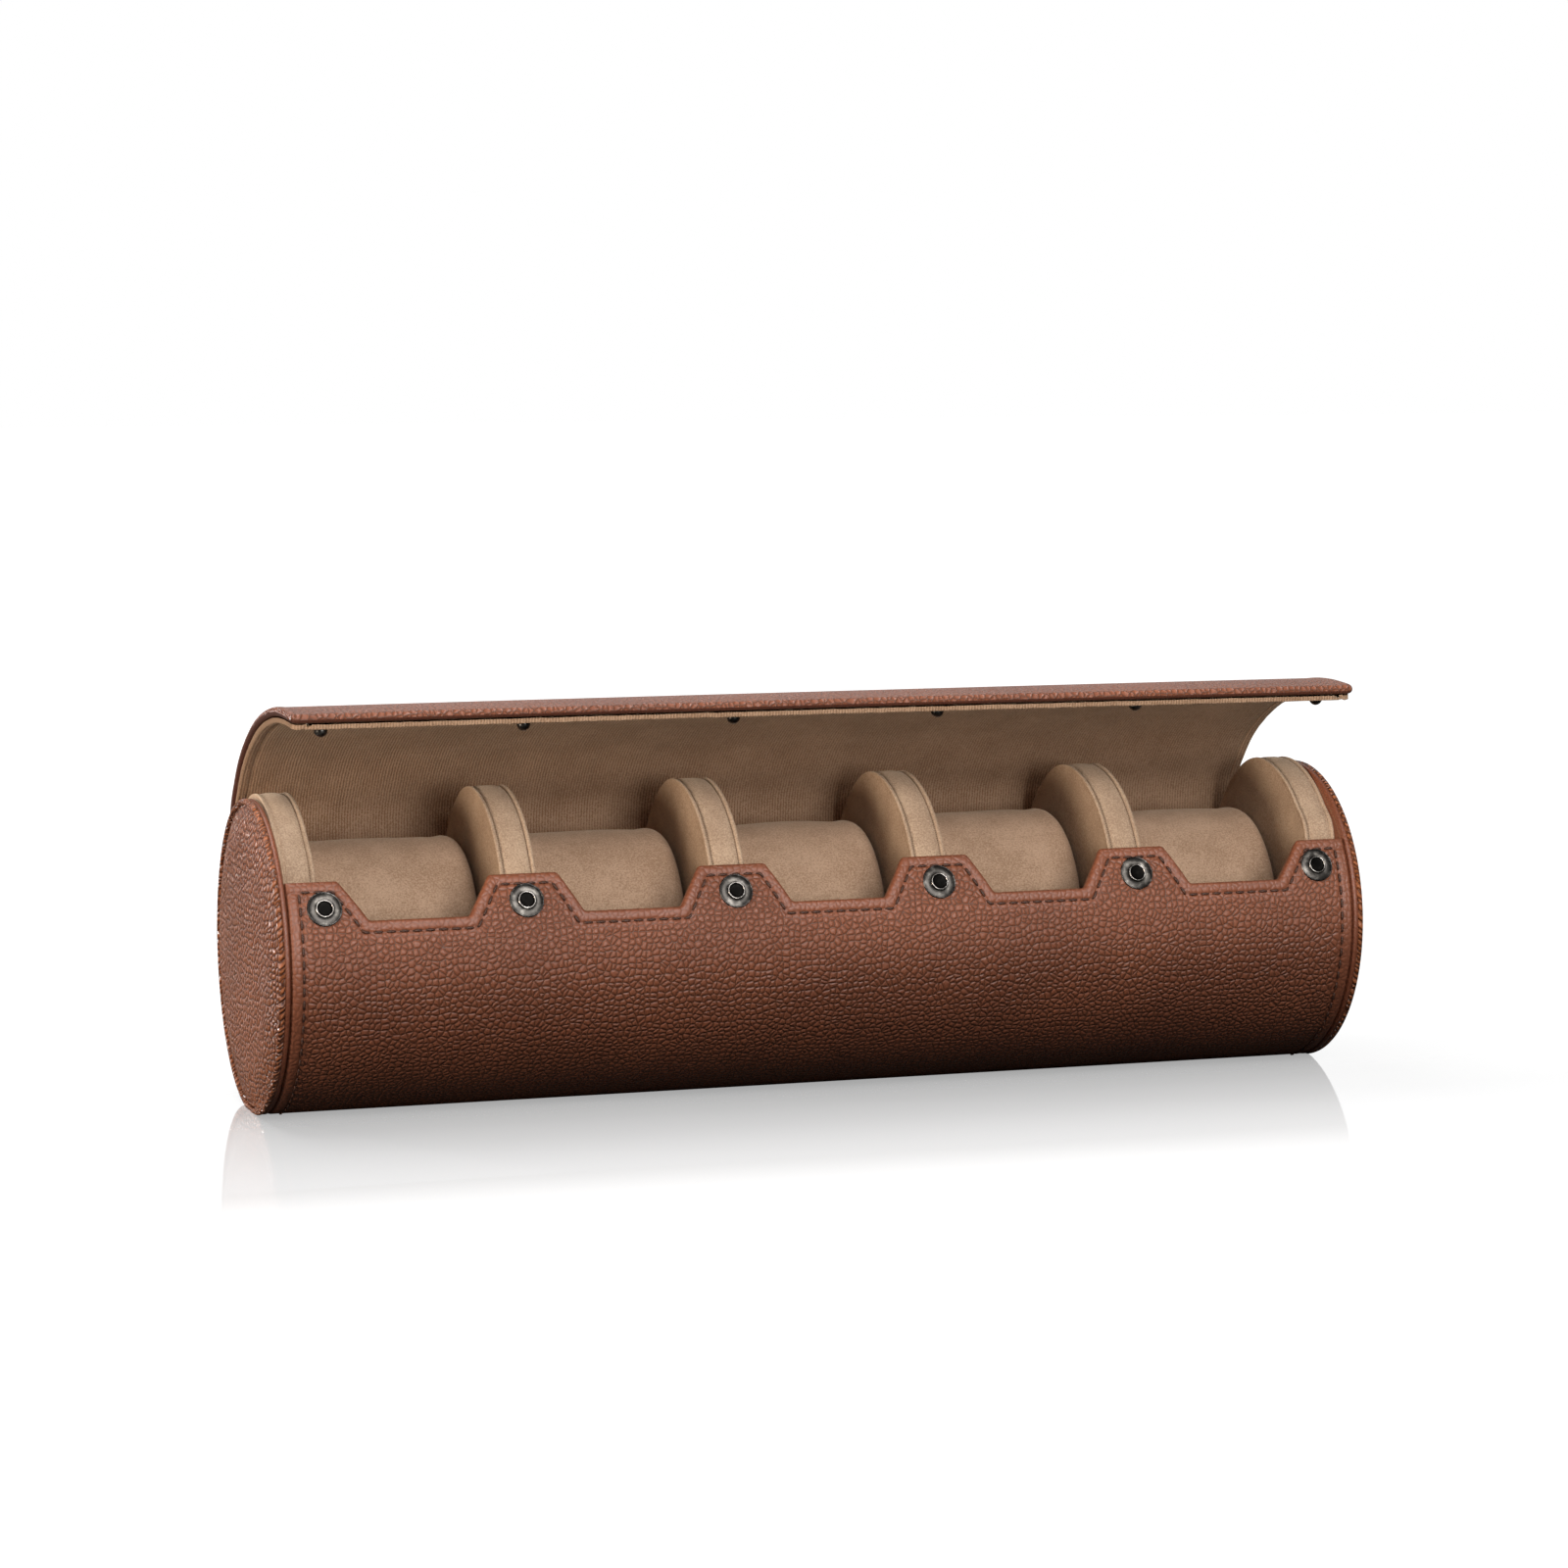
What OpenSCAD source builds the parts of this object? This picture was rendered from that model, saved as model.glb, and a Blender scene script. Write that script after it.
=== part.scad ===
// Watch roll: a round leather case with five watch cushions.
// The lid is drawn shut and then opened, so that closing it brings the studs into the sockets.
// X runs along the case, Y towards the lid's hinge, Z up. Z = 0 is the flat that the case rests on.
// Angles round the case are counted from the front (0) over the top (90) to the back (180).

/* [Shell] */
// Outside radius of the round case
shell_r = 47; // [42:0.5:60]
// Thickness of the outer leather
leather_t = 1.3; // [0.9:0.1:1.6]
// Thickness of the board that stiffens the shell
board_t = 1.6; // [1:0.1:2.4]
// Thickness of the suede lining
lining_t = 0.8; // [0.5:0.1:1.2]
// Width of the leather that is turned over an edge
turned_edge = 1.4; // [1:0.1:2.5]
// Depth of the flat under the case
flat_depth = 0.7; // [0.3:0.1:0.8]
// Angle of the shell's back edge, where the lid hinges
back_edge_angle = 162; // [150:1:168]

/* [Snap tabs] */
// Angle of the top edge of the tabs
tab_top_angle = 35.4; // [31:0.2:40]
// Angle of the floor of the notches between the tabs
notch_angle = 19.8; // [14:0.2:22]
// Width of an inner tab at its top
tab_top_w = 20.9; // [16:0.1:28]
// Width of an inner tab at its foot
tab_foot_w = 34.8; // [30:0.1:42]
// Width of an end tab at its top
end_tab_top_w = 15.5; // [14:0.1:22]
// Width of an end tab at its foot
end_tab_foot_w = 23.7; // [22:0.1:30]
// Radius of the tab and notch corners
tab_corner_r = 1.5; // [0.5:0.1:3]

/* [Dividers] */
// Clear width of a middle compartment
compartment_w = 53.2; // [44:0.1:70]
// Clear width of the compartment at each end
end_compartment_w = 55.3; // [44:0.1:70]
// Thickness of an inner divider
divider_t = 11.2; // [7:0.1:14]
// Thickness of an end divider
end_divider_t = 10.2; // [7:0.1:14]
// Radius of the divider's round top
divider_top_r = 41.2; // [37:0.1:46]
// How far behind the case's axis the round top is centred
divider_top_back = 3.6; // [0:0.1:6]
// How far above the case's axis the round top is centred
divider_top_up = 7.2; // [2:0.1:8]
// Thickness of the padded suede over a divider's board
divider_cover_t = 2; // [1:0.1:3]

/* [Cushions] */
// Depth of a cushion from front to back
cushion_depth = 61; // [50:1:70]
// Height of a cushion
cushion_h = 74; // [60:1:78]
// Height of a cushion's top above the case's axis
cushion_top_up = 32.6; // [26:0.2:36]
// How far behind the case's axis a cushion is centred
cushion_back = 10; // [4:0.5:12]
// Width over which a cushion's shoulders round off
cushion_shoulder = 9; // [4:0.5:14]
// Bulge of the middle of a cushion over its shoulders
cushion_crown = 1.2; // [0:0.1:3]
// Bulge of a cushion's sewn ends
cushion_end_bulge = 1.2; // [0:0.1:3]
// Thickness of the suede and its backing over the foam
cushion_cover_t = 2; // [1:0.1:3]

/* [Lid] */
// Thickness of the board inside the lid
lid_board_t = 1.5; // [1:0.1:2.4]
// Angle of the crease where the lid flexes
flex_angle = 72.5; // [60:0.5:85]
// Angle of the lid's front edge when it is shut
front_edge_angle = 18; // [12:0.5:19]
// How far the lid's inside stands off the shell's radius half way up the back panel
lid_rise_back = 0.3; // [-1:0.1:2]
// How far the lid's inside stands off the shell's radius at the crease
lid_rise_flex = 4.9; // [3:0.1:7]
// How far the lid's inside stands off the shell's radius half way down the front panel
lid_rise_front = 1.5; // [1.2:0.1:3]
// How far the lid's inside stands off the shell's radius at its front edge
lid_rise_edge = 3.2; // [2.6:0.1:4]
// How far the lid stands open at its hinge
lid_open_angle = 20; // [0:1:90]
// How far the lid is straightened at its crease
lid_flex_open_angle = 32.5; // [0:0.5:33]

/* [Snaps] */
// Angle of the row of snaps
snap_angle = 24.5; // [22:0.1:29]
// Distance of an end snap from the end of the shell
end_snap_inset = 10.7; // [8:0.1:14]
// Diameter of a snap's socket
socket_d = 10.5; // [8:0.1:12]
// Bore of a socket and of its eyelet
socket_bore_d = 4.8; // [4.6:0.1:5]
// Diameter of a stud's ball
stud_ball_d = 4; // [3.4:0.1:4.2]
// Diameter of a stud's foot on the lining
stud_foot_d = 7.2; // [6:0.1:9]

/* [End caps] */
// Thickness of a cap's board
cap_board_t = 2; // [1.5:0.1:3]
// Width of the groove between the shell and the cap
cap_groove_w = 0.5; // [0.3:0.1:1]
// Diameter of the piped cord round a cap
piping_d = 1.8; // [1.2:0.1:2.4]
// Height of the piped cord over the shell's radius
piping_rise = 0.2; // [0:0.1:0.6]
// Thickness of a cap's leather face
cap_face_t = 1.1; // [0.8:0.1:1.6]
// Height of the padded face over its rim
cap_dome_rise = 2.9; // [1:0.1:5]

/* [Hidden] */
$fn = 120;
fit_gap = 0.3;
touch = 0.02;
inner_divider_count = 4;
compartment_count = 5;

axis_z = shell_r - flat_depth;
lining_r = shell_r - leather_t - board_t - lining_t;
board_in_r = lining_r + lining_t;
board_out_r = shell_r - leather_t;
lid_lining_t = lining_t;
lid_t = leather_t + lid_board_t + lid_lining_t;

divider_pitch = compartment_w + divider_t;
inner_divider_x = 1.5 * divider_pitch;
half_len = inner_divider_x + divider_t / 2 + end_compartment_w + end_divider_t;
shell_len = 2 * half_len;
lid_len = shell_len - 2 * fit_gap;
end_divider_x = half_len - end_divider_t / 2;

function polar(r, a) = [-r * cos(a), r * sin(a)];
function angle_of(p) = atan2(p[1], p[0]);
function unit(a) = [cos(a), sin(a)];
function arc_points(centre, r, from, to, steps) =
    [for (i = [0:steps]) centre + r * unit(from + (to - from) * i / steps)];

// Centre of the circle through three points
function circle_centre(a, b, c) =
    let (
        ab = b - a,
        ac = c - a,
        d = 2 * (ab[0] * ac[1] - ab[1] * ac[0]),
        nb = ab * ab,
        nc = ac * ac
    )
    a + [ac[1] * nb - ab[1] * nc, ab[0] * nc - ac[0] * nb] / d;

// Points of a corner b between a and c, rounded to radius r
function round_corner(a, b, c, r, steps = 4) =
    let (
        u = (a - b) / norm(a - b),
        v = (c - b) / norm(c - b),
        half = acos(u * v) / 2,
        cut = r / tan(half),
        middle = b + (u + v) / norm(u + v) * r / sin(half),
        start = angle_of(b + u * cut - middle),
        turn = angle_of(b + v * cut - middle) - start,
        short_turn = turn > 180 ? turn - 360 : turn < -180 ? turn + 360 : turn
    )
    arc_points(middle, r, start, start + short_turn, steps);

// Extrudes a profile drawn about the case's axis, seen from the end, along the case
module along_x(len, x = 0) {
    translate([x - len / 2, 0, axis_z])
        rotate([90, 0, 90])
            linear_extrude(len)
                children();
}

module above_rest_plane() {
    intersection() {
        children();
        translate([-half_len * 1.5, -shell_r * 2, 0])
            cube([half_len * 3, shell_r * 4, shell_r * 4]);
    }
}

// Pie slice about the axis, in steps fine enough to reach past the radius r
module slice(r, from, to) {
    polygon(concat([[0, 0]], [for (i = [0:8]) polar(r * 1.6, from + (to - from) * i / 8)]));
}

// Tab outline: x along the case, y round it, as seen square on at the middle of the tabs
tab_middle_angle = (tab_top_angle + notch_angle) / 2;
tab_side = shell_r * sin((tab_top_angle - notch_angle) / 2);
tab_xs = [
    -half_len,
    -inner_divider_x,
    -divider_pitch / 2,
    divider_pitch / 2,
    inner_divider_x,
    half_len
];

function tab_half(i, end_w, w) = i == 0 || i == len(tab_xs) - 1 ? end_w : w / 2;
function tab_slope(i) =
    let (
        run = tab_half(i, end_tab_foot_w, tab_foot_w) - tab_half(i, end_tab_top_w, tab_top_w),
        rise = 2 * tab_side
    )
    [run / rise, norm([run, rise]) / rise];
function tab_edge_x(i, side, y, inset) =
    tab_xs[i] + side * (
        tab_half(i, end_tab_top_w, tab_top_w)
        + (tab_side - y) * tab_slope(i)[0]
        - inset * tab_slope(i)[1]
    );
function tab_side_corners(i, side, inset) =
    let (top = tab_side - inset, foot = -tab_side - inset)
    side > 0
        ? [[tab_edge_x(i, 1, top, inset), top], [tab_edge_x(i, 1, foot, inset), foot]]
        : [[tab_edge_x(i, -1, foot, inset), foot], [tab_edge_x(i, -1, top, inset), top]];
function front_edge_corners(inset) = [
    for (i = [0:len(tab_xs) - 1], side = [-1, 1])
        if (!(i == 0 && side < 0) && !(i == len(tab_xs) - 1 && side > 0))
            each tab_side_corners(i, side, inset)
];
function front_edge(inset) =
    let (
        past = half_len + 10,
        ends = [[-past, tab_side - inset], [past, tab_side - inset]],
        corners = concat([ends[0]], front_edge_corners(inset), [ends[1]])
    )
    concat(
        [ends[0]],
        [
            for (i = [1:len(corners) - 2])
                each round_corner(corners[i - 1], corners[i], corners[i + 1], tab_corner_r)
        ],
        [ends[1]]
    );

// Everything above the front edge of the shell, with the tabs left standing
module front_cut(inset) {
    reach = shell_r * 0.6;
    outline = concat(front_edge(inset), [[half_len + 10, reach], [-half_len - 10, reach]]);
    translate([0, 0, axis_z])
        rotate([90 - tab_middle_angle, 0, 0])
            linear_extrude(shell_r * 2)
                polygon(outline);
}

module shell_layer(r_in, r_out, inset) {
    difference() {
        along_x(shell_len)
            difference() {
                circle(r_out);
                circle(r_in);
                slice(shell_r, tab_top_angle + 8, back_edge_angle + fit_gap);
            }
        front_cut(inset);
    }
}

// Snaps: local Z points out from the case's axis
snap_xs = concat(
    [-half_len + end_snap_inset],
    [for (i = [1:inner_divider_count]) tab_xs[i]],
    [half_len - end_snap_inset]
);
socket_seat_r = sqrt(pow(shell_r, 2) - pow(socket_d / 2, 2));
eyelet_wall = 0.45;
eyelet_flange_r = 4.2;
eyelet_flange_t = 0.6;
eyelet_flange_top = sqrt(pow(lining_r, 2) - pow(eyelet_flange_r, 2)) - touch;
eyelet_hole_d = socket_bore_d + 2 * eyelet_wall + 0.1;

module at_sockets() {
    for (x = snap_xs)
        translate([x, 0, axis_z])
            rotate([90 - snap_angle, 0, 0])
                children();
}

module eyelet_holes() {
    at_sockets() cylinder(h = shell_r * 1.2, d = eyelet_hole_d);
}

module shell_leather() {
    color("#7a4b38")
        above_rest_plane()
            difference() {
                shell_layer(lining_r, shell_r, 0);
                shell_layer(lining_r - 1, board_out_r, turned_edge);
                eyelet_holes();
                at_sockets()
                    translate([0, 0, socket_seat_r])
                        cylinder(h = 4, d = socket_d + 0.1);
            }
}

module shell_board() {
    color("#b39b72")
        difference() {
            shell_layer(board_in_r, board_out_r, turned_edge);
            eyelet_holes();
        }
}

module shell_lining() {
    color("#c0a080")
        difference() {
            shell_layer(lining_r, board_in_r, turned_edge);
            eyelet_holes();
        }
}

// Lid panels, shut: two arcs that meet at the crease
back_foot = polar(shell_r - lid_t, back_edge_angle);
back_middle = polar(shell_r + lid_rise_back, (back_edge_angle + flex_angle) / 2);
crease = polar(shell_r + lid_rise_flex, flex_angle);
front_middle = polar(shell_r + lid_rise_front, (flex_angle + front_edge_angle) / 2);
front_foot = polar(shell_r + lid_rise_edge, front_edge_angle);
back_centre = circle_centre(back_foot, back_middle, crease);
back_r = norm(crease - back_centre);
front_centre = circle_centre(crease, front_middle, front_foot);
front_r = norm(crease - front_centre);
hinge = polar(shell_r, back_edge_angle);
crease_face = (
    angle_of(crease - back_centre) + angle_of(crease - front_centre) - lid_flex_open_angle
) / 2;
far = shell_r * 1.5;
edge_inset_angle = asin(turned_edge / shell_r);

function square_to(a) = [sin(a), -cos(a)];

module back_panel(from_t, to_t) {
    start = crease + square_to(crease_face) * fit_gap / 2;
    difference() {
        intersection() {
            translate(back_centre) circle(back_r + to_t);
            polygon(concat(
                [[0, 0]],
                [for (i = [0:4]) polar(far * 1.2, back_edge_angle - i * 15)],
                [start + far * unit(crease_face), start, start - 4 * unit(crease_face)]
            ));
        }
        translate(back_centre) circle(back_r + from_t);
    }
}

module front_panel(from_t, to_t, inset_angle = 0) {
    face = crease_face + lid_flex_open_angle;
    start = crease - square_to(face) * fit_gap / 2;
    difference() {
        intersection() {
            translate(front_centre) circle(front_r + to_t);
            polygon(concat(
                [start - 4 * unit(face), start, start + far * unit(face)],
                [for (i = [0:4]) polar(far * 1.4, front_edge_angle + inset_angle + (4 - i) * 8)],
                [polar(shell_r * 0.8, front_edge_angle + inset_angle)]
            ));
        }
        translate(front_centre) circle(front_r + from_t);
    }
}

module turn_about(p, angle) {
    translate([0, p[0], axis_z + p[1]])
        rotate([-angle, 0, 0])
            translate([0, -p[0], -axis_z - p[1]])
                children();
}

module open_back() {
    turn_about(hinge, lid_open_angle) children();
}

module open_front() {
    open_back() turn_about(crease, lid_flex_open_angle) children();
}

module lid_back_leather() {
    color("#7a4b38")
        open_back()
            difference() {
                along_x(lid_len) back_panel(0, lid_t);
                along_x(lid_len - 2 * turned_edge) back_panel(-1, lid_t - leather_t);
            }
}

module lid_back_board() {
    color("#b39b72")
        open_back()
            along_x(lid_len - 2 * turned_edge)
                back_panel(lid_lining_t, lid_t - leather_t);
}

module lid_back_lining() {
    color("#c0a080")
        open_back()
            along_x(lid_len - 2 * turned_edge)
                back_panel(0, lid_lining_t);
}

// Studs: the ball sits on the socket's axis when the lid is shut, and the foot lies flat on the lining
stud_ball = polar(shell_r - 0.1, snap_angle);
stud_dir = stud_ball - front_centre;
stud_ball_z = norm(stud_dir);
stud_tilt = atan2(-stud_dir[0], stud_dir[1]);
stud_foot_t = 0.7;
stud_foot_z = sqrt(pow(front_r, 2) - pow(stud_foot_d / 2, 2)) - touch;
stud_neck_r = 1.3;
rivet_shank_r = 1.2;
rivet_head_d = 8;
rivet_head_t = 0.6;
rivet_head_z = front_r + lid_lining_t + lid_board_t;

module at_studs() {
    for (x = snap_xs)
        translate([x, front_centre[0], axis_z + front_centre[1]])
            rotate([stud_tilt, 0, 0])
                children();
}

module rivet_holes() {
    at_studs()
        translate([0, 0, front_r - 2])
            cylinder(h = lid_lining_t + lid_board_t + 2.1, r = rivet_shank_r + 0.05);
}

module lid_front_leather() {
    color("#7a4b38")
        open_front()
            difference() {
                along_x(lid_len) front_panel(0, lid_t);
                along_x(lid_len - 2 * turned_edge)
                    front_panel(-1, lid_t - leather_t, edge_inset_angle);
                at_studs()
                    translate([0, 0, rivet_head_z - 0.5])
                        cylinder(h = rivet_head_t + 0.55, d = rivet_head_d + 0.1);
            }
}

module lid_front_board() {
    color("#b39b72")
        open_front()
            difference() {
                along_x(lid_len - 2 * turned_edge)
                    front_panel(lid_lining_t, lid_t - leather_t, edge_inset_angle);
                rivet_holes();
            }
}

module lid_front_lining() {
    color("#c0a080")
        open_front()
            difference() {
                along_x(lid_len - 2 * turned_edge)
                    front_panel(0, lid_lining_t, edge_inset_angle);
                rivet_holes();
            }
}

// Snap hardware
module snap_sockets() {
    bore_r = socket_bore_d / 2;
    rim_r = socket_d / 2;
    lip_r = bore_r + 0.9;
    slope = min(1, (rim_r - lip_r - 0.35) / 1.55);
    profile = concat(
        [[bore_r, 0], [rim_r - 0.1, 0]],
        arc_points([rim_r - 0.25, 0.25], 0.25, -60, 60, 4),
        arc_points([rim_r - 1.4 * slope, 0.95 - 1.65 * slope], 1.65 * slope, 60, 90, 4),
        arc_points([lip_r + 0.35, 1.05], 0.3, -90, -180, 3),
        arc_points([lip_r - 0.45, 1], 0.45, 0, 180, 8)
    );
    color("#5d5a58")
        at_sockets()
            translate([0, 0, socket_seat_r])
                rotate_extrude()
                    polygon(profile);
}

module snap_eyelets() {
    color("#8a8783")
        at_sockets()
            difference() {
                union() {
                    translate([0, 0, eyelet_flange_top - eyelet_flange_t])
                        cylinder(h = eyelet_flange_t, r = eyelet_flange_r);
                    translate([0, 0, eyelet_flange_top - eyelet_flange_t])
                        cylinder(
                            h = socket_seat_r - eyelet_flange_top + eyelet_flange_t,
                            r = socket_bore_d / 2 + eyelet_wall
                        );
                }
                cylinder(h = shell_r, d = socket_bore_d);
            }
}

module snap_studs() {
    ball_r = stud_ball_d / 2;
    neck_a = asin(stud_neck_r / ball_r);
    foot_z = stud_foot_z - stud_ball_z;
    profile = concat(
        [for (i = [0:10], a = 180 - i * (180 - neck_a) / 10) ball_r * [sin(a), cos(a)]],
        [
            [stud_neck_r, foot_z - stud_foot_t - 0.3],
            [stud_neck_r + 0.3, foot_z - stud_foot_t],
            [stud_foot_d / 2 - 0.3, foot_z - stud_foot_t],
            [stud_foot_d / 2, foot_z - stud_foot_t + 0.3],
            [stud_foot_d / 2, foot_z],
            [0, foot_z]
        ]
    );
    color("#5d5a58")
        open_front()
            at_studs()
                translate([0, 0, stud_ball_z])
                    rotate_extrude()
                        polygon(profile);
}

module snap_rivets() {
    color("#8a8783")
        open_front()
            at_studs() {
                translate([0, 0, stud_foot_z])
                    cylinder(h = rivet_head_z - stud_foot_z + 0.1, r = rivet_shank_r);
                translate([0, 0, rivet_head_z])
                    cylinder(h = rivet_head_t, d = rivet_head_d);
            }
}

// Dividers: a round top, set back from the tabs, and a lower part that fills the shell
divider_fill_r = lining_r - 0.1;
ramp_low_angle = 4;
ramp_high_angle = 33;
outline_step = 3;

// Distance from the axis to a circle, in the direction of an angle
function reach(a, centre, r) =
    let (ahead = centre * polar(1, a))
    ahead + sqrt(r * r - (centre * centre - ahead * ahead));
function round_top(a) = reach(a, [divider_top_back, divider_top_up], divider_top_r);
function under_lid(a) =
    min(reach(a, back_centre, back_r), reach(a, front_centre, front_r)) - fit_gap;
function divider_reach(a) =
    a > ramp_high_angle && a <= back_edge_angle
        ? min(round_top(a), under_lid(a))
        : a > back_edge_angle && a < 220
            ? min(round_top(a), divider_fill_r)
            : a > ramp_low_angle && a <= ramp_high_angle
                ? divider_fill_r + (round_top(ramp_high_angle) - divider_fill_r)
                    * (a - ramp_low_angle) / (ramp_high_angle - ramp_low_angle)
                : divider_fill_r;

module divider_outline(inset) {
    polygon([for (a = [0:outline_step:360 - outline_step]) polar(divider_reach(a) - inset, a)]);
}

divider_xs = concat(
    [-end_divider_x],
    [for (i = [1:inner_divider_count]) tab_xs[i]],
    [end_divider_x]
);
function divider_width(i) =
    i == 0 || i == len(divider_xs) - 1 ? end_divider_t : divider_t;

module divider_core(i) {
    color("#b39b72")
        along_x(divider_width(i) - 2 * divider_cover_t, divider_xs[i])
            divider_outline(divider_cover_t);
}

module divider_cover(i) {
    color("#c8ab8a")
        difference() {
            along_x(divider_width(i), divider_xs[i])
                divider_outline(0);
            along_x(divider_width(i) - 2 * divider_cover_t, divider_xs[i])
                divider_outline(divider_cover_t);
        }
}

// Cushions: an oval pillow, pressed flat where it meets the shell's lining
cushion_gap = 0.8;
cushion_sides = 32;
core_sides = 20;
compartment_xs = [
    -inner_divider_x - divider_t / 2 - end_compartment_w / 2,
    -divider_pitch,
    0,
    divider_pitch,
    inner_divider_x + divider_t / 2 + end_compartment_w / 2
];
function cushion_w(i) =
    (i == 0 || i == compartment_count - 1 ? end_compartment_w : compartment_w) - 2 * cushion_gap;

// A point of the pillow's section, drawn in by an inset, about the case's axis
function cushion_point(a, inset) =
    let (
        half_d = cushion_depth / 2 - inset,
        half_h = cushion_h / 2 - inset,
        p = [
            cushion_back + half_d * cos(a),
            cushion_top_up - cushion_h / 2 + half_h * sin(a)
        ],
        most = lining_r - fit_gap - inset * 0.6
    )
    norm(p) > most ? p * most / norm(p) : p;

// Stations along a pillow, each with its place and how far its section is drawn in
function cushion_stations(w, end_in) =
    let (
        half = w / 2 - end_in,
        shoulder = cushion_shoulder - end_in,
        side = [for (a = [90:-30:0]) [half - shoulder * (1 - sin(90 - a)), shoulder * (1 - sin(a))]]
    )
    concat(
        [for (i = [len(side) - 1:-1:0]) [-side[i][0], side[i][1]]],
        side
    );
function crown_in(x, w) = cushion_crown * pow(2 * x / w, 2);

module pillow(w, sides, skin) {
    stations = cushion_stations(w, skin);
    rings = len(stations);
    bulge = min(cushion_end_bulge, cushion_gap * 0.5);
    ends = [
        [stations[0][0] - bulge, stations[0][1]],
        [stations[rings - 1][0] + bulge, stations[0][1]]
    ];
    points = concat(
        [
            for (s = stations, k = [0:sides - 1])
                let (p = cushion_point(360 * k / sides, s[1] + crown_in(s[0], w) + skin))
                [s[0], p[0], p[1] + axis_z]
        ],
        [for (e = ends) [e[0], cushion_back, cushion_top_up - cushion_h / 2 + axis_z]]
    );
    last = rings - 1;
    faces = concat(
        [
            for (r = [0:rings - 2], k = [0:sides - 1])
                let (n = (k + 1) % sides)
                each [
                    [r * sides + k, (r + 1) * sides + k, (r + 1) * sides + n],
                    [r * sides + k, (r + 1) * sides + n, r * sides + n]
                ]
        ],
        [for (k = [0:sides - 1]) [rings * sides, k, (k + 1) % sides]],
        [
            for (k = [0:sides - 1])
                [rings * sides + 1, last * sides + (k + 1) % sides, last * sides + k]
        ]
    );
    polyhedron(points, faces);
}

module cushion_foam(i) {
    color("#e4dcc8")
        translate([compartment_xs[i], 0, 0])
            pillow(cushion_w(i), core_sides, cushion_cover_t);
}

module cushion_cover(i) {
    color("#b3946f")
        translate([compartment_xs[i], 0, 0])
            difference() {
                pillow(cushion_w(i), cushion_sides, 0);
                pillow(cushion_w(i), core_sides, cushion_cover_t);
            }
}

// End caps: local Z points out from the shell's end
cap_board_r = board_out_r - 0.1;
piping_r = piping_d / 2;
piping_ring_r = shell_r + piping_rise - piping_r;
piping_z = cap_board_t + piping_r;
cap_face_r = piping_ring_r - piping_r - 0.05;
cap_dome_r = cap_face_r - 1.5;
cap_rim_z = cap_board_t + cap_face_t;
dome_steps = 10;

function dome_points(r, z, rise) = [
    for (i = [0:dome_steps])
        let (part = i / dome_steps)
        [r * (1 - part), z + rise * (1 - pow(1 - part, 3))]
];

module at_cap(side) {
    above_rest_plane()
        translate([side * half_len, 0, axis_z])
            rotate([0, side * 90, 0])
                children();
}

module cap_board(side) {
    color("#b39b72")
        at_cap(side)
            cylinder(h = cap_board_t, r = cap_board_r);
}

module cap_band(side) {
    color("#6b3f30")
        at_cap(side)
            translate([0, 0, cap_groove_w])
                difference() {
                    cylinder(h = cap_board_t - cap_groove_w, r = shell_r);
                    translate([0, 0, -1])
                        cylinder(h = cap_board_t + 2, r = cap_board_r);
                }
}

module cap_piping(side) {
    color("#6b3f30")
        at_cap(side)
            translate([0, 0, piping_z])
                rotate_extrude()
                    translate([piping_ring_r, 0])
                        circle(piping_r, $fn = 32);
}

module cap_pad(side) {
    color("#e4dcc8")
        at_cap(side)
            rotate_extrude()
                polygon(concat(
                    [[0, cap_board_t]],
                    dome_points(cap_dome_r - cap_face_t, cap_board_t, cap_dome_rise)
                ));
}

module cap_face(side) {
    color("#7a4b38")
        at_cap(side)
            rotate_extrude()
                polygon(concat(
                    [[cap_face_r, cap_board_t], [cap_face_r, cap_rim_z]],
                    dome_points(cap_dome_r, cap_rim_z, cap_dome_rise),
                    [
                        for (i = [dome_steps:-1:0])
                            dome_points(cap_dome_r - cap_face_t, cap_board_t, cap_dome_rise)[i]
                    ]
                ));
}

shell_leather();
shell_board();
shell_lining();
lid_back_leather();
lid_back_board();
lid_back_lining();
lid_front_leather();
lid_front_board();
lid_front_lining();
snap_sockets();
snap_eyelets();
snap_studs();
snap_rivets();
cap_board(-1);  // left_cap_board
cap_band(-1);  // left_cap_band
cap_piping(-1);  // left_cap_piping
cap_pad(-1);  // left_cap_pad
cap_face(-1);  // left_cap_face
cap_board(1);  // right_cap_board
cap_band(1);  // right_cap_band
cap_piping(1);  // right_cap_piping
cap_pad(1);  // right_cap_pad
cap_face(1);  // right_cap_face
divider_core(0);  // divider_1_core
divider_core(1);  // divider_2_core
divider_core(2);  // divider_3_core
divider_core(3);  // divider_4_core
divider_core(4);  // divider_5_core
divider_core(5);  // divider_6_core
divider_cover(0);  // divider_1_cover
divider_cover(1);  // divider_2_cover
divider_cover(2);  // divider_3_cover
divider_cover(3);  // divider_4_cover
divider_cover(4);  // divider_5_cover
divider_cover(5);  // divider_6_cover
cushion_foam(0);  // cushion_1_foam
cushion_foam(1);  // cushion_2_foam
cushion_foam(2);  // cushion_3_foam
cushion_foam(3);  // cushion_4_foam
cushion_foam(4);  // cushion_5_foam
cushion_cover(0);  // cushion_1_cover
cushion_cover(1);  // cushion_2_cover
cushion_cover(2);  // cushion_3_cover
cushion_cover(3);  // cushion_4_cover
cushion_cover(4);  // cushion_5_cover
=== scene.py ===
import math

import bpy
import numpy as np
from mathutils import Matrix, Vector, noise


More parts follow.
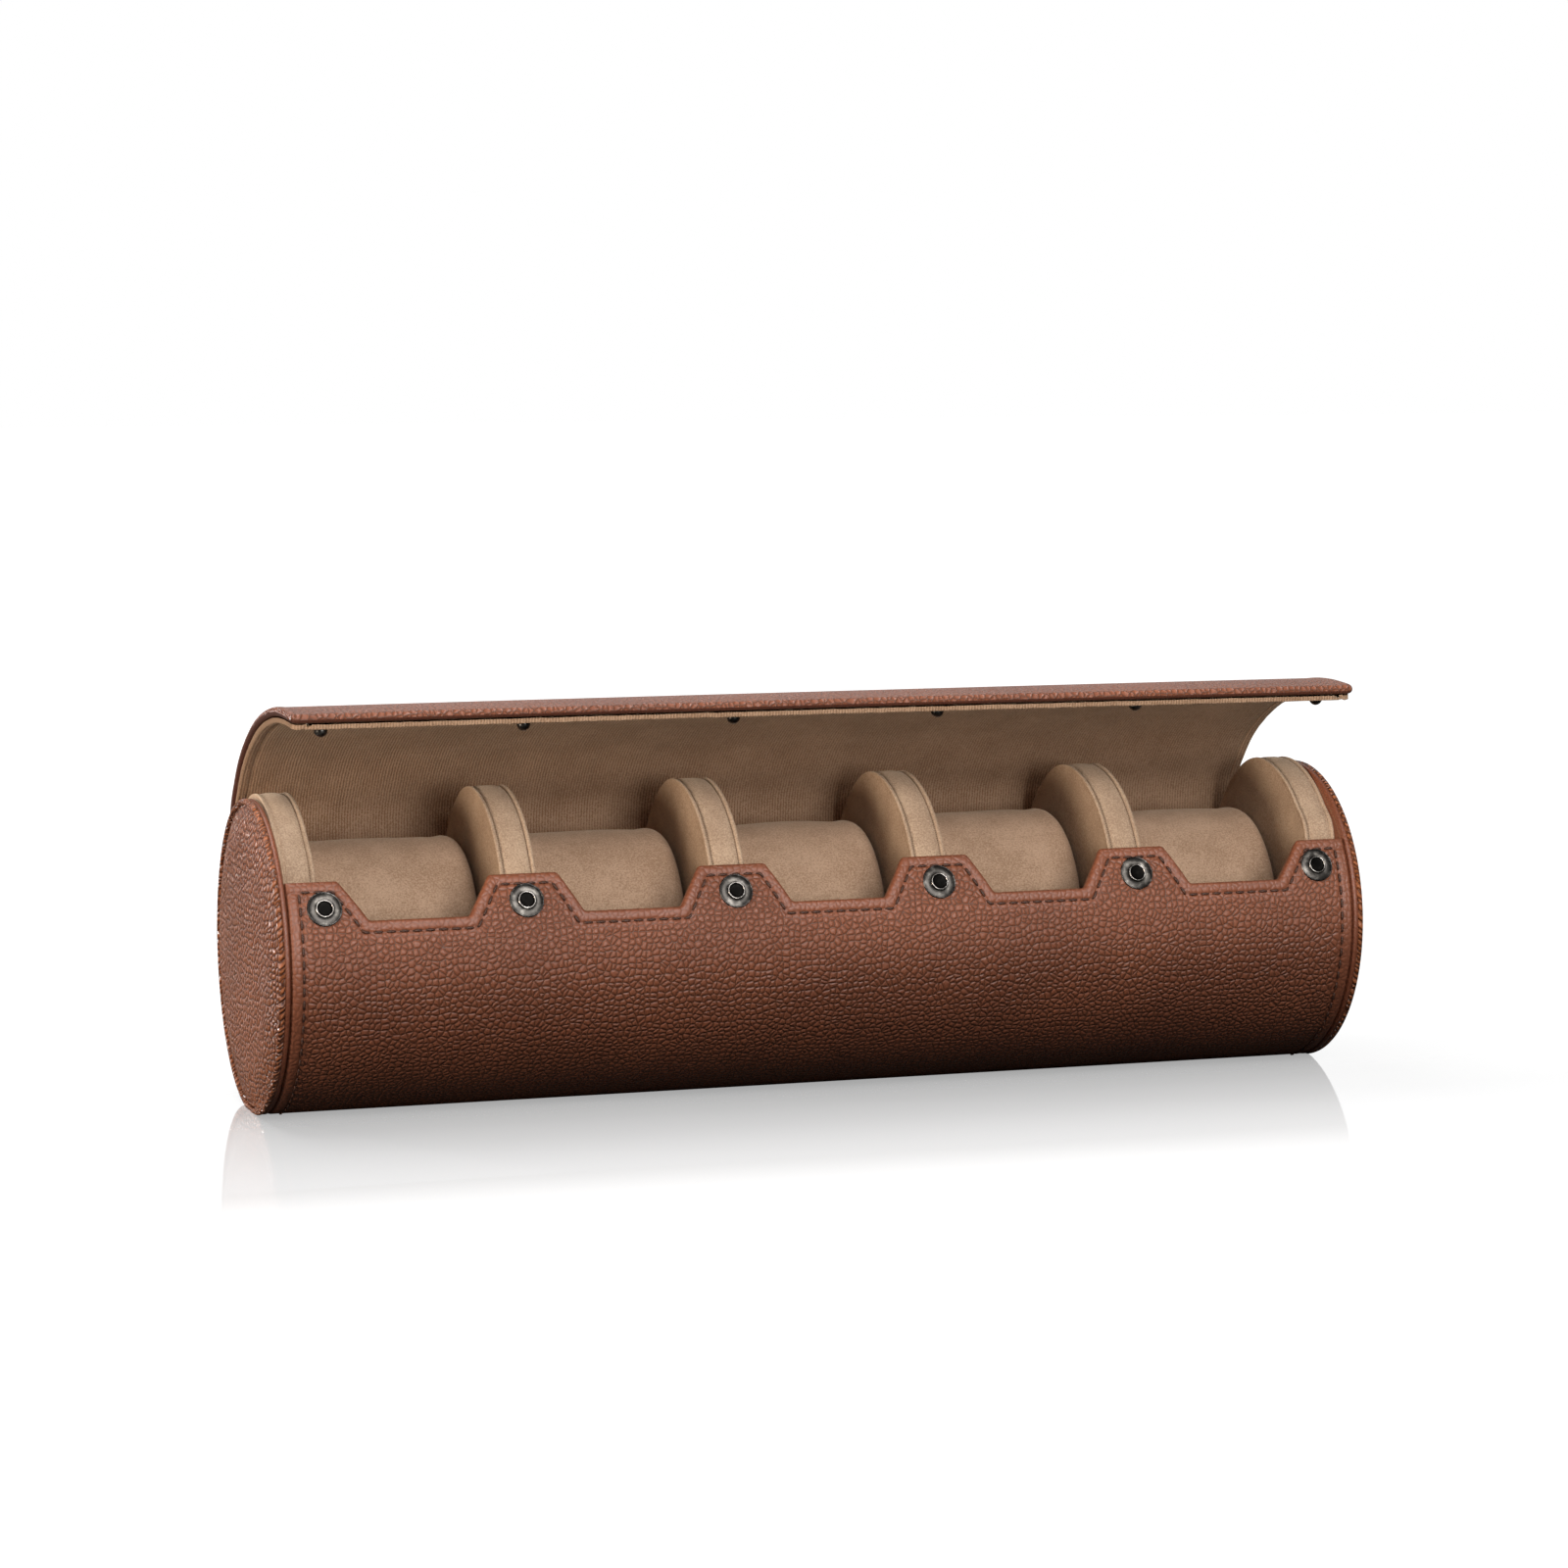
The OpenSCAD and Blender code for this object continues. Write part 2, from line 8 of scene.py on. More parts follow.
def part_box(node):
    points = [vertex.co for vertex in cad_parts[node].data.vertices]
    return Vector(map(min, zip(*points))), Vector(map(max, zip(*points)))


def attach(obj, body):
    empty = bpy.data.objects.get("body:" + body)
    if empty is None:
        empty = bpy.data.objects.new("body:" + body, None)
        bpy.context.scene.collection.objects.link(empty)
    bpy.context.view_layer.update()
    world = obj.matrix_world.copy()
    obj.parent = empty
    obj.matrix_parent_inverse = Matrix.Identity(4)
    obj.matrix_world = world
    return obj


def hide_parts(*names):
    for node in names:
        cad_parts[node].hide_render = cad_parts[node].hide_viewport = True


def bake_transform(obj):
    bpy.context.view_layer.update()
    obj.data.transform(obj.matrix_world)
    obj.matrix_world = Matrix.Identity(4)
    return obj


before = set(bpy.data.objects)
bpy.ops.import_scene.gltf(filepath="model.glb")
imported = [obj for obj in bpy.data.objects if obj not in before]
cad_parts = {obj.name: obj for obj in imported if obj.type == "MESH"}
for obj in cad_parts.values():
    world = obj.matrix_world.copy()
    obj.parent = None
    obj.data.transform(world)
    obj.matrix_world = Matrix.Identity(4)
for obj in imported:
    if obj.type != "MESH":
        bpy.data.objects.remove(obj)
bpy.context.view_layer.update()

MM = 0.001

# Sizes of the case
SHELL_R = 47.0
LINING_R = 43.3
BOARD_R = 45.6
AXIS_Z = 46.3
HALF_LEN = 167.7
TAB_PITCH = 64.4
TAB_TOP_ANGLE = 35.4
NOTCH_ANGLE = 19.8
TAB_TOP_HALF = 10.45
TAB_FOOT_HALF = 17.4
END_TAB_TOP = 15.5
END_TAB_FOOT = 23.7
TAB_CORNER_R = 1.5
SPLIT_ANGLE = 176.0
EDGE_ROUND = 1.1
STITCH_INSET = 3.6
STITCH_PITCH = 3.85
STITCH_LEN = 2.75
THREAD_R = 0.4
GROOVE_DEPTH = 0.38
GROOVE_HALF = 0.6
EDGE_PUFF = 0.14
IRONED_TO = 2.8
IRONED_FADE = 4.0
IRONED_GRAIN = 0.35
TABS_END_ANGLE = 6.0
PLAIN_FROM = 13.0

# Sizes of the lid
LID_HALF_LEN = 167.4
LID_T = 3.6
LID_LEATHER_LOW = 1.0
LID_CORNER_R = 3.0
LID_DROOP = 1.0
LID_PUFF = 0.15
LID_SUEDE_INSET = 0.9
LID_SUEDE_TOP = 0.6
LID_SUEDE_PROUD = 0.95

# Where the lid's sheet starts and stops bending, at the shell and at the crease
SHELL_BEND = ((44.7, 4.0), (44.7, 25.0))
CREASE_BEND = ((13.0, 63.0), (-15.0, 72.0))

# Sizes of the caps: the face's rim, its dome and the piped cord round it
CAP_RIM_R = 43.6
CAP_RIM_OUT = 3.1
CAP_DOME_RISE = 2.9
CAP_SHOULDER_RISE = 0.5
PIPING_R = 0.95
PIPING_PLACE = (46.25, 2.75)

# Sizes of the dividers and cushions
DIVIDER_SEAM_INSET = 1.5
DIVIDER_SEAM_R = 0.24
DIVIDER_SEAM_SINK = 0.62
END_DIVIDER_R = 44.4
END_DIVIDER_TURNS = [38, 46, 70, 100]
CUSHION_CENTRE = (10.0, -4.4)
CUSHION_HALF_DEPTH = 30.5
CUSHION_HALF_HEIGHT = 37.0
CUSHION_SHOULDER = 5.5
CUSHION_LIFTS = (0.0, 0.0, 0.0, 1.2, -0.8)

# Places of the snaps, and the radius of the flat seat that each socket has on its tab
SNAP_ANGLE = 24.5
SNAP_XS = [-157.0, -96.6, -32.2, 32.2, 96.6, 157.0]
SOCKET_R = 5.25
SNAP_SEAT_R = math.sqrt(SHELL_R**2 - SOCKET_R**2)

# Steps in from an edge, close together where the edge rounds and where the thread sinks in
EDGE_STEPS = [0, 0.08, 0.25, 0.5, 0.8, 1.1, 1.6, 2.3, 2.9, 3.2, 3.4, 3.6, 3.8, 4.0, 4.3, 5.0]


def polar(r, a):
    """Point (y, z) about the axis."""
    t = math.radians(a)
    return (-r * math.cos(t), r * math.sin(t))


def linear(code):
    """An sRGB hex colour as linear light."""
    parts = [int(code[i : i + 2], 16) / 255 for i in (1, 3, 5)]
    return [c / 12.92 if c <= 0.04045 else ((c + 0.055) / 1.055) ** 2.4 for c in parts] + [1.0]


# Finishes

# Settings of a soft step and of a mix of two colours, and the numbers of that mix's sockets
SOFT = {"interpolation_type": "SMOOTHSTEP"}
COLOURS = {"data_type": "RGBA"}
SHARE, LOW, HIGH, MIXED = 0, 6, 7, 2


def add(tree, kind, values=None, **settings):
    """Adds a node, sets it up, and fills or links its inputs. A node links by its first output."""
    node = tree.nodes.new(kind)
    for key, value in settings.items():
        setattr(node, key, value)
    for key, value in (values or {}).items():
        if isinstance(value, bpy.types.Node):
            value = value.outputs[0]
        if isinstance(value, bpy.types.NodeSocket):
            tree.links.new(value, node.inputs[key])
        else:
            node.inputs[key].default_value = value
    return node


def new_material(name):
    """An empty node material and its tree."""
    material = bpy.data.materials.new(name)
    material.use_nodes = True
    tree = material.node_tree
    tree.nodes.clear()
    return material, tree


def finish_material(tree, values):
    """Ends a tree with one shader that has these values."""
    shader = add(tree, "ShaderNodeBsdfPrincipled", values)
    add(tree, "ShaderNodeOutputMaterial", {"Surface": shader})


def embossed_leather(
    name, crown, valley_shade, pebble_mm, relief_mm, roughness, ironed=False, pores=0.22
):
    """Bovine leather, embossed with a pebble grain and lightly waxed.

    The eye gets rounded pebbles with a small gleam on each, and painted shade that darkens the
    valleys between them.
    Where the hide is ironed flat beside its edges the pebbles fade out. Pores roughen each
    pebble, and fewer of them leave a cleaner gleam. Real pores are too fine to show, so they
    are drawn 0.4 mm wide.
    """
    material, tree = new_material(name)
    hide = add(tree, "ShaderNodeTexCoord").outputs["UV"]
    sway = add(tree, "ShaderNodeTexNoise", {"Vector": hide, "Scale": 1 / (pebble_mm * 2.2 * MM)})
    values = {0: sway.outputs["Color"], 1: (0.5, 0.5, 0.5)}
    centred = add(tree, "ShaderNodeVectorMath", values, operation="SUBTRACT")
    values = {0: centred, 1: (pebble_mm * 0.7 * MM,) * 3, 2: hide}
    shifted = add(tree, "ShaderNodeVectorMath", values, operation="MULTIPLY_ADD")
    values = {"Vector": shifted, "Scale": 1 / (pebble_mm * MM), "Randomness": 0.85}
    edge = add(
        tree, "ShaderNodeTexVoronoi", values, feature="DISTANCE_TO_EDGE", voronoi_dimensions="2D"
    )
    dome = add(tree, "ShaderNodeTexVoronoi", values, feature="F1", voronoi_dimensions="2D")
    # A pebble's flank takes a third of its width, and the valley's painted shade half as much
    flank = add(tree, "ShaderNodeMapRange", {"Value": edge, "From Max": 0.34}, **SOFT)
    pebble = add(tree, "ShaderNodeMath", {0: dome, 1: -0.7, 2: flank}, operation="MULTIPLY_ADD")
    pits = add(tree, "ShaderNodeTexNoise", {"Vector": hide, "Scale": 1 / (0.4 * MM), "Detail": 3.0})
    height = add(tree, "ShaderNodeMath", {0: pits, 1: pores, 2: pebble}, operation="MULTIPLY_ADD")
    strength = 1.0
    if ironed:
        strength = add(tree, "ShaderNodeAttribute", attribute_name="grain").outputs["Fac"]
    values = {"Height": height, "Strength": strength, "Distance": relief_mm * MM}
    bump = add(tree, "ShaderNodeBump", values)
    clouds = add(tree, "ShaderNodeTexNoise", {"Vector": hide, "Scale": 1 / (40 * MM), "Detail": 4.0})
    values = {"Value": clouds, "From Min": 0.3, "From Max": 0.7}
    cloudy = add(tree, "ShaderNodeMapRange", values, **SOFT)
    values = {SHARE: cloudy, LOW: linear(crown), HIGH: linear(darker(crown))}
    tone = add(tree, "ShaderNodeMix", values, **COLOURS).outputs[MIXED]
    # Painted shade: the valleys between pebbles take the darker valley colour
    rise = add(tree, "ShaderNodeMapRange", {"Value": edge, "From Max": 0.16}, **SOFT)
    values = {SHARE: rise, LOW: linear(valley_shade), HIGH: tone}
    colour = add(tree, "ShaderNodeMix", values, **COLOURS).outputs[MIXED]
    if ironed:
        values = {SHARE: strength, LOW: tone, HIGH: colour}
        colour = add(tree, "ShaderNodeMix", values, **COLOURS).outputs[MIXED]
    finish_material(
        tree, {"Base Color": colour, "Roughness": roughness, "IOR": 1.5, "Normal": bump}
    )
    return material


def darker(code):
    """The same hex colour, a tenth darker."""
    return "#" + "".join("%02x" % int(int(code[i : i + 2], 16) * 0.9) for i in (1, 3, 5))


def microsuede(name, pale, deep, rib_mm=0.0):
    """Knitted microsuede with a brushed nap.

    The eye gets a matt cloth with soft light and dark patches where the nap lies over,
    a speckle of fibres, ribs where it is a lining, and a pale sheen at grazing angles.
    Real fibres are too fine to show, so the speckle is drawn 0.5 mm wide.
    """
    material, tree = new_material(name)
    place = add(tree, "ShaderNodeTexCoord").outputs["Object"]
    values = {"Vector": place, "Scale": 1 / (14 * MM), "Detail": 5.0, "Roughness": 0.65}
    nap = add(tree, "ShaderNodeTexNoise", values)
    values = {"Vector": place, "Scale": 1 / (0.5 * MM), "Detail": 2.0}
    fibre = add(tree, "ShaderNodeTexNoise", values)
    share = add(tree, "ShaderNodeMath", {0: fibre, 1: 1.6, 2: nap}, operation="MULTIPLY_ADD")
    height = fibre
    middle = 1.3
    if rib_mm:
        values = {"Vector": place, "Scale": math.pi / 10 / (rib_mm * MM), "Distortion": 1.5}
        ribs = add(tree, "ShaderNodeTexWave", values, bands_direction="X").outputs["Fac"]
        height = add(tree, "ShaderNodeMath", {0: ribs, 1: 0.5, 2: height}, operation="MULTIPLY_ADD")
        share = add(tree, "ShaderNodeMath", {0: ribs, 1: 0.5, 2: share}, operation="MULTIPLY_ADD")
        middle += 0.25
    values = {"Value": share, "From Min": middle - 0.35, "From Max": middle + 0.35}
    lit = add(tree, "ShaderNodeMapRange", values, **SOFT)
    values = {SHARE: lit, LOW: linear(deep), HIGH: linear(pale)}
    colour = add(tree, "ShaderNodeMix", values, **COLOURS).outputs[MIXED]
    bump = add(tree, "ShaderNodeBump", {"Height": height, "Strength": 0.6, "Distance": 0.3 * MM})
    finish_material(
        tree,
        {
            "Base Color": colour,
            "Roughness": 0.95,
            "Sheen Weight": 0.35,
            "Sheen Roughness": 0.4,
            "Sheen Tint": linear("#f2dcc0"),
            "Specular IOR Level": 0.2,
            "Normal": bump,
        },
    )
    return material


def twisted_thread(name, light, dark):
    """Waxed polyester thread: the eye gets a fine diagonal twist and a dull gleam."""
    material, tree = new_material(name)
    place = add(tree, "ShaderNodeTexCoord").outputs["Object"]
    values = {"Vector": place, "Scale": math.pi / 10 / (0.5 * MM)}
    twist = add(tree, "ShaderNodeTexWave", values, bands_direction="DIAGONAL").outputs["Fac"]
    values = {SHARE: twist, LOW: linear(dark), HIGH: linear(light)}
    colour = add(tree, "ShaderNodeMix", values, **COLOURS).outputs[MIXED]
    bump = add(tree, "ShaderNodeBump", {"Height": twist, "Strength": 0.4, "Distance": 0.1 * MM})
    finish_material(tree, {"Base Color": colour, "Roughness": 0.6, "Normal": bump})
    return material


def plated_brass(name, tint, worn, roughness):
    """Brass under a blackened nickel plate: dark mirror faces, paler where handling wears it."""
    material, tree = new_material(name)
    place = add(tree, "ShaderNodeTexCoord").outputs["Object"]
    wear = add(tree, "ShaderNodeTexNoise", {"Vector": place, "Scale": 1 / (2.5 * MM), "Detail": 6.0})
    values = {"Value": wear, "From Min": 0.45, "From Max": 0.75}
    rubbed = add(tree, "ShaderNodeMapRange", values, **SOFT)
    values = {SHARE: rubbed, LOW: linear(tint), HIGH: linear(worn)}
    colour = add(tree, "ShaderNodeMix", values, **COLOURS).outputs[MIXED]
    values = {"Value": wear, "From Min": 0.2, "From Max": 0.9}
    dulled = add(tree, "ShaderNodeMapRange", values, **SOFT)
    values = {"Value": dulled, "To Min": roughness, "To Max": roughness + 0.12}
    rough = add(tree, "ShaderNodeMapRange", values)
    finish_material(tree, {"Base Color": colour, "Metallic": 1.0, "Roughness": rough})
    return material


def board_or_foam(name, pale, deep):
    """Pressed fibre board or cut foam: a dull, flat tone mottled with darker fibres or cells."""
    material, tree = new_material(name)
    place = add(tree, "ShaderNodeTexCoord").outputs["Object"]
    values = {"Vector": place, "Scale": 1 / (1.5 * MM), "Detail": 6.0}
    fibre = add(tree, "ShaderNodeTexNoise", values)
    values = {SHARE: fibre, LOW: linear(deep), HIGH: linear(pale)}
    colour = add(tree, "ShaderNodeMix", values, **COLOURS).outputs[MIXED]
    finish_material(tree, {"Base Color": colour, "Roughness": 0.9})
    return material


# The hide of the shell and lid, ironed flat beside its stitches
LEATHER = embossed_leather("pebbled_cowhide", "#8c5238", "#57321f", 1.85, 0.27, 0.48, ironed=True)
# The caps' hide, pulled tight and waxed so each pebble's flank gleams; its pebbles are painted
# lighter than the shell's as a painted highlight, and its valleys darker as painted shade
CAP_LEATHER_PAINTED_LIT = embossed_leather(
    "pebbled_cowhide_cap_painted_lit", "#a8633c", "#4f2b1d", 1.9, 0.85, 0.33, pores=0.06
)
# Skived leather, dark where it turns in at the lid's edge as painted shade on that edge, and lighter
# round the caps
SHADED_EDGE_LEATHER = embossed_leather("edge_leather_painted_shade", "#5c3324", "#4a281b", 0.9, 0.05, 0.4)
BAND_LEATHER = embossed_leather("band_leather", "#8a4f36", "#6a3b28", 0.9, 0.05, 0.4)
# Suede with ribs on the shell's and lid's insides, plain and paler on dividers and cushions
LINING = microsuede("lining_microsuede", "#b19075", "#896a51", 0.9)
DIVIDER_SUEDE = microsuede("divider_microsuede", "#bba086", "#9b8069")
CUSHION_SUEDE = microsuede("cushion_microsuede", "#b4967d", "#957860")
# Thread of the stitches, and of the dividers' seams
THREAD = twisted_thread("brown_thread", "#573322", "#2d180f")
PALE_THREAD = twisted_thread("beige_thread", "#9c8064", "#5f4833")
# Metals of the snaps: knurled rim, brushed flange, polished ring, and a near-black floor inside that
# stands for the spring, painted shade of its deep hole
GUNMETAL = plated_brass("gunmetal_brass", "#3a3836", "#7d7975", 0.24)
BRUSHED = plated_brass("brushed_flange", "#3d3a37", "#77726c", 0.32)
NICKEL = plated_brass("nickel_brass", "#837e79", "#c4bfb9", 0.2)
# Painted shade: the shallow well is coloured near-black to stand for the deep, shaded hole round the
# spring
WELL_SHADE_METAL = plated_brass("spring_hole_painted_shade", "#0d0c0b", "#1c1a18", 0.4)
# Board and foam, hidden inside
BOARD = board_or_foam("fibre_board", "#a08a68", "#6e5c43")
FOAM = board_or_foam("open_foam", "#e4dcc8", "#cfc5ac")


# Mesh work


def make(name, points, faces, material, places=None, grain=None):
    """A smooth piece from points in millimetres about the axis.

    Places are where its points lie on the hide or cloth, and grain is how much pebble they keep.
    """
    mesh = bpy.data.meshes.new(name)
    mesh.from_pydata([(x * MM, y * MM, (z + AXIS_Z) * MM) for x, y, z in points], [], faces)
    if places:
        layer = mesh.uv_layers.new(name="UVMap")
        index = np.empty(len(mesh.loops), np.int32)
        mesh.loops.foreach_get("vertex_index", index)
        layer.data.foreach_set("uv", (np.array(places, float)[index] * MM).ravel())
    if grain:
        mesh.attributes.new("grain", "FLOAT", "POINT").data.foreach_set("value", grain)
    mesh.materials.append(material)
    mesh.polygons.foreach_set("use_smooth", [True] * len(mesh.polygons))
    mesh.update()
    piece = bpy.data.objects.new(name, mesh)
    bpy.context.scene.collection.objects.link(piece)
    return piece


def quads(rows, columns, start=0, closed=False, flip=False):
    """Faces of a grid of points, row by row."""
    faces = []
    last = columns if closed else columns - 1
    for r in range(rows - 1):
        for c in range(last):
            n = (c + 1) % columns
            face = (
                start + r * columns + c,
                start + r * columns + n,
                start + (r + 1) * columns + n,
                start + (r + 1) * columns + c,
            )
            faces.append(face[::-1] if flip else face)
    return faces


def spread(low, high, step):
    """Even values from low to high, about a step apart."""
    count = max(1, round(abs(high - low) / step))
    return [low + (high - low) * i / count for i in range(count + 1)]


def end_steps(half):
    """Places along X with close steps at both ends."""
    left = [-half + s for s in EDGE_STEPS]
    return left + spread(left[-1], -left[-1], 3.0)[1:-1] + [-x for x in reversed(left)]


def rounding(d, r):
    """How far a rounded edge falls off at a distance d from the edge."""
    return r - math.sqrt(max(0.0, r * r - (r - d) ** 2)) if d < r else 0.0


def puff(d):
    """Swelling of a turned edge, as a share of its greatest."""
    return math.sin(math.pi * d / STITCH_INSET) if d < STITCH_INSET else 0.0


def thread_groove(d):
    """Depth of the dent under a row of stitches, and below zero for the puffed edge beside it."""
    return GROOVE_DEPTH * math.exp(-(((d - STITCH_INSET) / GROOVE_HALF) ** 2)) - EDGE_PUFF * puff(d)


def kept_grain(d):
    """Share of the pebbles left at a distance from an edge: ironed flat up to the stitches."""
    t = min(max((d - IRONED_TO) / IRONED_FADE, 0.0), 1.0)
    return IRONED_GRAIN + (1 - IRONED_GRAIN) * t * t * (3 - 2 * t)


def stitches(path, lift=0.05):
    """Points and faces of the stitches along a path of (point, outward normal)."""
    at = [0.0]
    for (p, _), (q, _) in zip(path, path[1:]):
        at.append(at[-1] + (Vector(q) - Vector(p)).length)
    count = max(1, int(at[-1] / STITCH_PITCH))
    pitch = at[-1] / count
    sides, rings = 6, 7

    def place(s):
        i = min(max(np.searchsorted(at, s) - 1, 0), len(path) - 2)
        t = (s - at[i]) / max(at[i + 1] - at[i], 1e-9)
        p, q = path[i], path[i + 1]
        return Vector(p[0]).lerp(Vector(q[0]), t), Vector(p[1]).lerp(Vector(q[1]), t).normalized()

    points, faces = [], []
    for k in range(count):
        middle = (k + 0.5) * pitch
        start = len(points)
        for j in range(rings):
            part = j / (rings - 1)
            centre, normal = place(middle + (part - 0.5) * STITCH_LEN)
            ahead = place(middle + (part - 0.45) * STITCH_LEN)[0] - centre
            side = normal.cross(ahead).normalized()
            arch = math.sin(math.pi * part)
            radius = THREAD_R * (0.55 + 0.45 * arch ** 0.5)
            centre = centre + normal * (lift + 0.32 * (arch ** 0.6 - 0.75))
            for i in range(sides):
                a = 2 * math.pi * i / sides
                points.append(centre + radius * (math.cos(a) * side + 0.8 * math.sin(a) * normal))
        faces += quads(rings, sides, start, closed=True)
        faces.append(tuple(start + i for i in reversed(range(sides))))
        faces.append(tuple(start + (rings - 1) * sides + i for i in range(sides)))
    return points, faces


def stitched(name, paths, material):
    """One piece with the stitches of several paths."""
    points, faces = [], []
    for path in paths:
        more, their = stitches(path)
        faces += [tuple(i + len(points) for i in face) for face in their]
        points += more
    return make(name, points, faces, material)


# Shell: the front edge with its tabs, and the skin and suede that follow it

TAB_XS = [-HALF_LEN] + [TAB_PITCH * k for k in (-1.5, -0.5, 0.5, 1.5)] + [HALF_LEN]
TAB_MIDDLE = (TAB_TOP_ANGLE + NOTCH_ANGLE) / 2
TAB_SIDE = SHELL_R * math.sin(math.radians((TAB_TOP_ANGLE - NOTCH_ANGLE) / 2))


def tab_edge_x(i, side, y, inset):
    """Where a tab's slope is at a height y, drawn in by an inset."""
    at_end = i in (0, len(TAB_XS) - 1)
    top, foot = (END_TAB_TOP, END_TAB_FOOT) if at_end else (TAB_TOP_HALF, TAB_FOOT_HALF)
    run = (foot - top) / (2 * TAB_SIDE)
    return TAB_XS[i] + side * (top + (TAB_SIDE - y) * run - inset * math.hypot(run, 1))


def front_corners(inset):
    """Corners of the front edge between the first and last tab's tops."""
    high, low = TAB_SIDE - inset, -TAB_SIDE - inset
    corners = []
    for i in range(len(TAB_XS)):
        if i > 0:
            corners += [(tab_edge_x(i, -1, low, inset), low), (tab_edge_x(i, -1, high, inset), high)]
        if i < len(TAB_XS) - 1:
            corners += [(tab_edge_x(i, 1, high, inset), high), (tab_edge_x(i, 1, low, inset), low)]
    return corners


def rounded(a, b, c, r, steps=4):
    """Points of the corner b between a and c, rounded to a radius."""
    a, b, c = Vector(a), Vector(b), Vector(c)
    u, v = (a - b).normalized(), (c - b).normalized()
    half = u.angle(v) / 2
    middle = b + (u + v).normalized() * r / math.sin(half)
    start = b + u * (r / math.tan(half)) - middle
    stop = b + v * (r / math.tan(half)) - middle
    turn = start.angle_signed(stop)
    out = []
    for i in range(steps + 1):
        t = -turn * i / steps
        out.append(
            (
                middle.x + start.x * math.cos(t) - start.y * math.sin(t),
                middle.y + start.x * math.sin(t) + start.y * math.cos(t),
            )
        )
    return out


def front_edge(inset):
    """The front edge drawn in by an inset, with the same number of points for every inset."""
    high = TAB_SIDE - inset
    outer = [(-HALF_LEN - 5, high)] + front_corners(inset) + [(HALF_LEN + 5, high)]
    bends = [rounded(*outer[i - 1 : i + 2], TAB_CORNER_R) for i in range(1, len(outer) - 1)]
    plain = front_corners(0)
    line = [(-HALF_LEN + s, high) for s in EDGE_STEPS]
    for k, bend in enumerate(bends):
        before = line[-1]
        gap = plain[k][0] - plain[k - 1][0] if k else plain[0][0] + HALF_LEN - EDGE_STEPS[-1]
        count = max(3, round(abs(gap) / 2.5))
        line += [
            (
                before[0] + (bend[0][0] - before[0]) * i / count,
                before[1] + (bend[0][1] - before[1]) * i / count,
            )
            for i in range(1, count)
        ]
        line += bend
    tail = [(HALF_LEN - s, high) for s in reversed(EDGE_STEPS)]
    before = line[-1]
    line += [(before[0] + (tail[0][0] - before[0]) * i / 4, high) for i in range(1, 4)]
    return line + tail


def edge_angle(y):
    """Angle round the case of a height on the tabs' outline."""
    return TAB_MIDDLE + math.degrees(math.asin(y / SHELL_R))


def end_distance(x):
    """Distance from the nearer end of the shell."""
    return HALF_LEN - abs(x)


def shell_rows(insets, low_step):
    """Rows of (x, angle, distance from the front edge) from the edge down and round to the back."""
    rows = [[(x, edge_angle(y), d) for x, y in front_edge(d)] for d in insets]
    last, near, meet = rows[-1], EDGE_STEPS[-1], TABS_END_ANGLE
    for t in spread(0, 1, 0.12)[1:]:
        d = near + (PLAIN_FROM - near) * t
        rows.append([(x, a + (meet - a) * t, d) for x, a, _ in last])
    for a in spread(meet, SPLIT_ANGLE - 360, low_step)[1:]:
        rows.append([(x, a, PLAIN_FROM) for x, _, _ in last])
    return rows


def shell_skin():
    """Leather of the shell, rounded over its front edge and ends, with dents for the stitches."""
    points, places, grain = [], [], []
    rows = shell_rows(EDGE_STEPS, 2.0)
    turned_in = [(1.6, LINING_R), (0.4, LINING_R), (0.1, LINING_R + 0.35), (0.0, LINING_R + 0.9)]
    for d, r in turned_in:
        for x, y in front_edge(d):
            points.append((x, *polar(r, edge_angle(y))))
            places.append((x, SHELL_R * math.radians(edge_angle(y)) + 2 * (SHELL_R - r)))
            grain.append(0.1)
    for row in rows:
        for x, a, d in row:
            e = end_distance(x)
            r = SHELL_R - rounding(min(d, e), EDGE_ROUND)
            r -= thread_groove(d) if d < STITCH_INSET else max(thread_groove(d), thread_groove(e))
            points.append((x, *polar(r, a)))
            places.append((x, SHELL_R * math.radians(a)))
            grain.append(kept_grain(min(d, e)))
    columns = len(rows[0])
    total = len(rows) + len(turned_in)
    faces = quads(total, columns, flip=True)
    for c in (0, columns - 1):
        start = len(points)
        for r in range(len(turned_in), total):
            x, y, z = points[r * columns + c]
            share = (BOARD_R - 0.3) / math.hypot(y, z)
            points.append((x, y * share, z * share))
            places.append(places[r * columns + c])
            grain.append(0.1)
        for r in range(len(rows) - 1):
            i = (len(turned_in) + r) * columns + c
            face = (i, i + columns, start + r + 1, start + r)
            faces.append(face if c else face[::-1])
    piece = make("shell_skin", points, faces, LEATHER, places, grain)
    flatten(piece)
    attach(piece, "case")
    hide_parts("shell_leather")


def flatten(piece):
    """Keeps a piece above the surface that the case rests on."""
    for vertex in piece.data.vertices:
        vertex.co.z = max(vertex.co.z, 0.0)


def shell_suede():
    """Suede that lines the shell, its edge set just inside the turned leather."""
    insets = [1.3, 1.35, 1.5, 1.8, 2.6, 3.4, 3.6, 3.8, 4.6, 6.0]
    depth = [LINING_R + 0.4, LINING_R - 0.05, LINING_R - 0.2, LINING_R - 0.25]
    rows = shell_rows(insets, 4.0)
    points, places = [], []
    for k, row in enumerate(rows):
        for x, a, d in row:
            r = depth[min(k, 3)] + 0.6 * thread_groove(d)
            r += 0.1 * noise.noise(Vector((x, a, 0)) * 0.7) if k > 1 else 0
            points.append((max(-HALF_LEN + 0.2, min(HALF_LEN - 0.2, x)), *polar(r, a)))
            places.append((x, LINING_R * math.radians(a)))
    piece = make("shell_suede", points, quads(len(rows), len(rows[0])), LINING, places)
    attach(piece, "case")
    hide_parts("shell_lining")


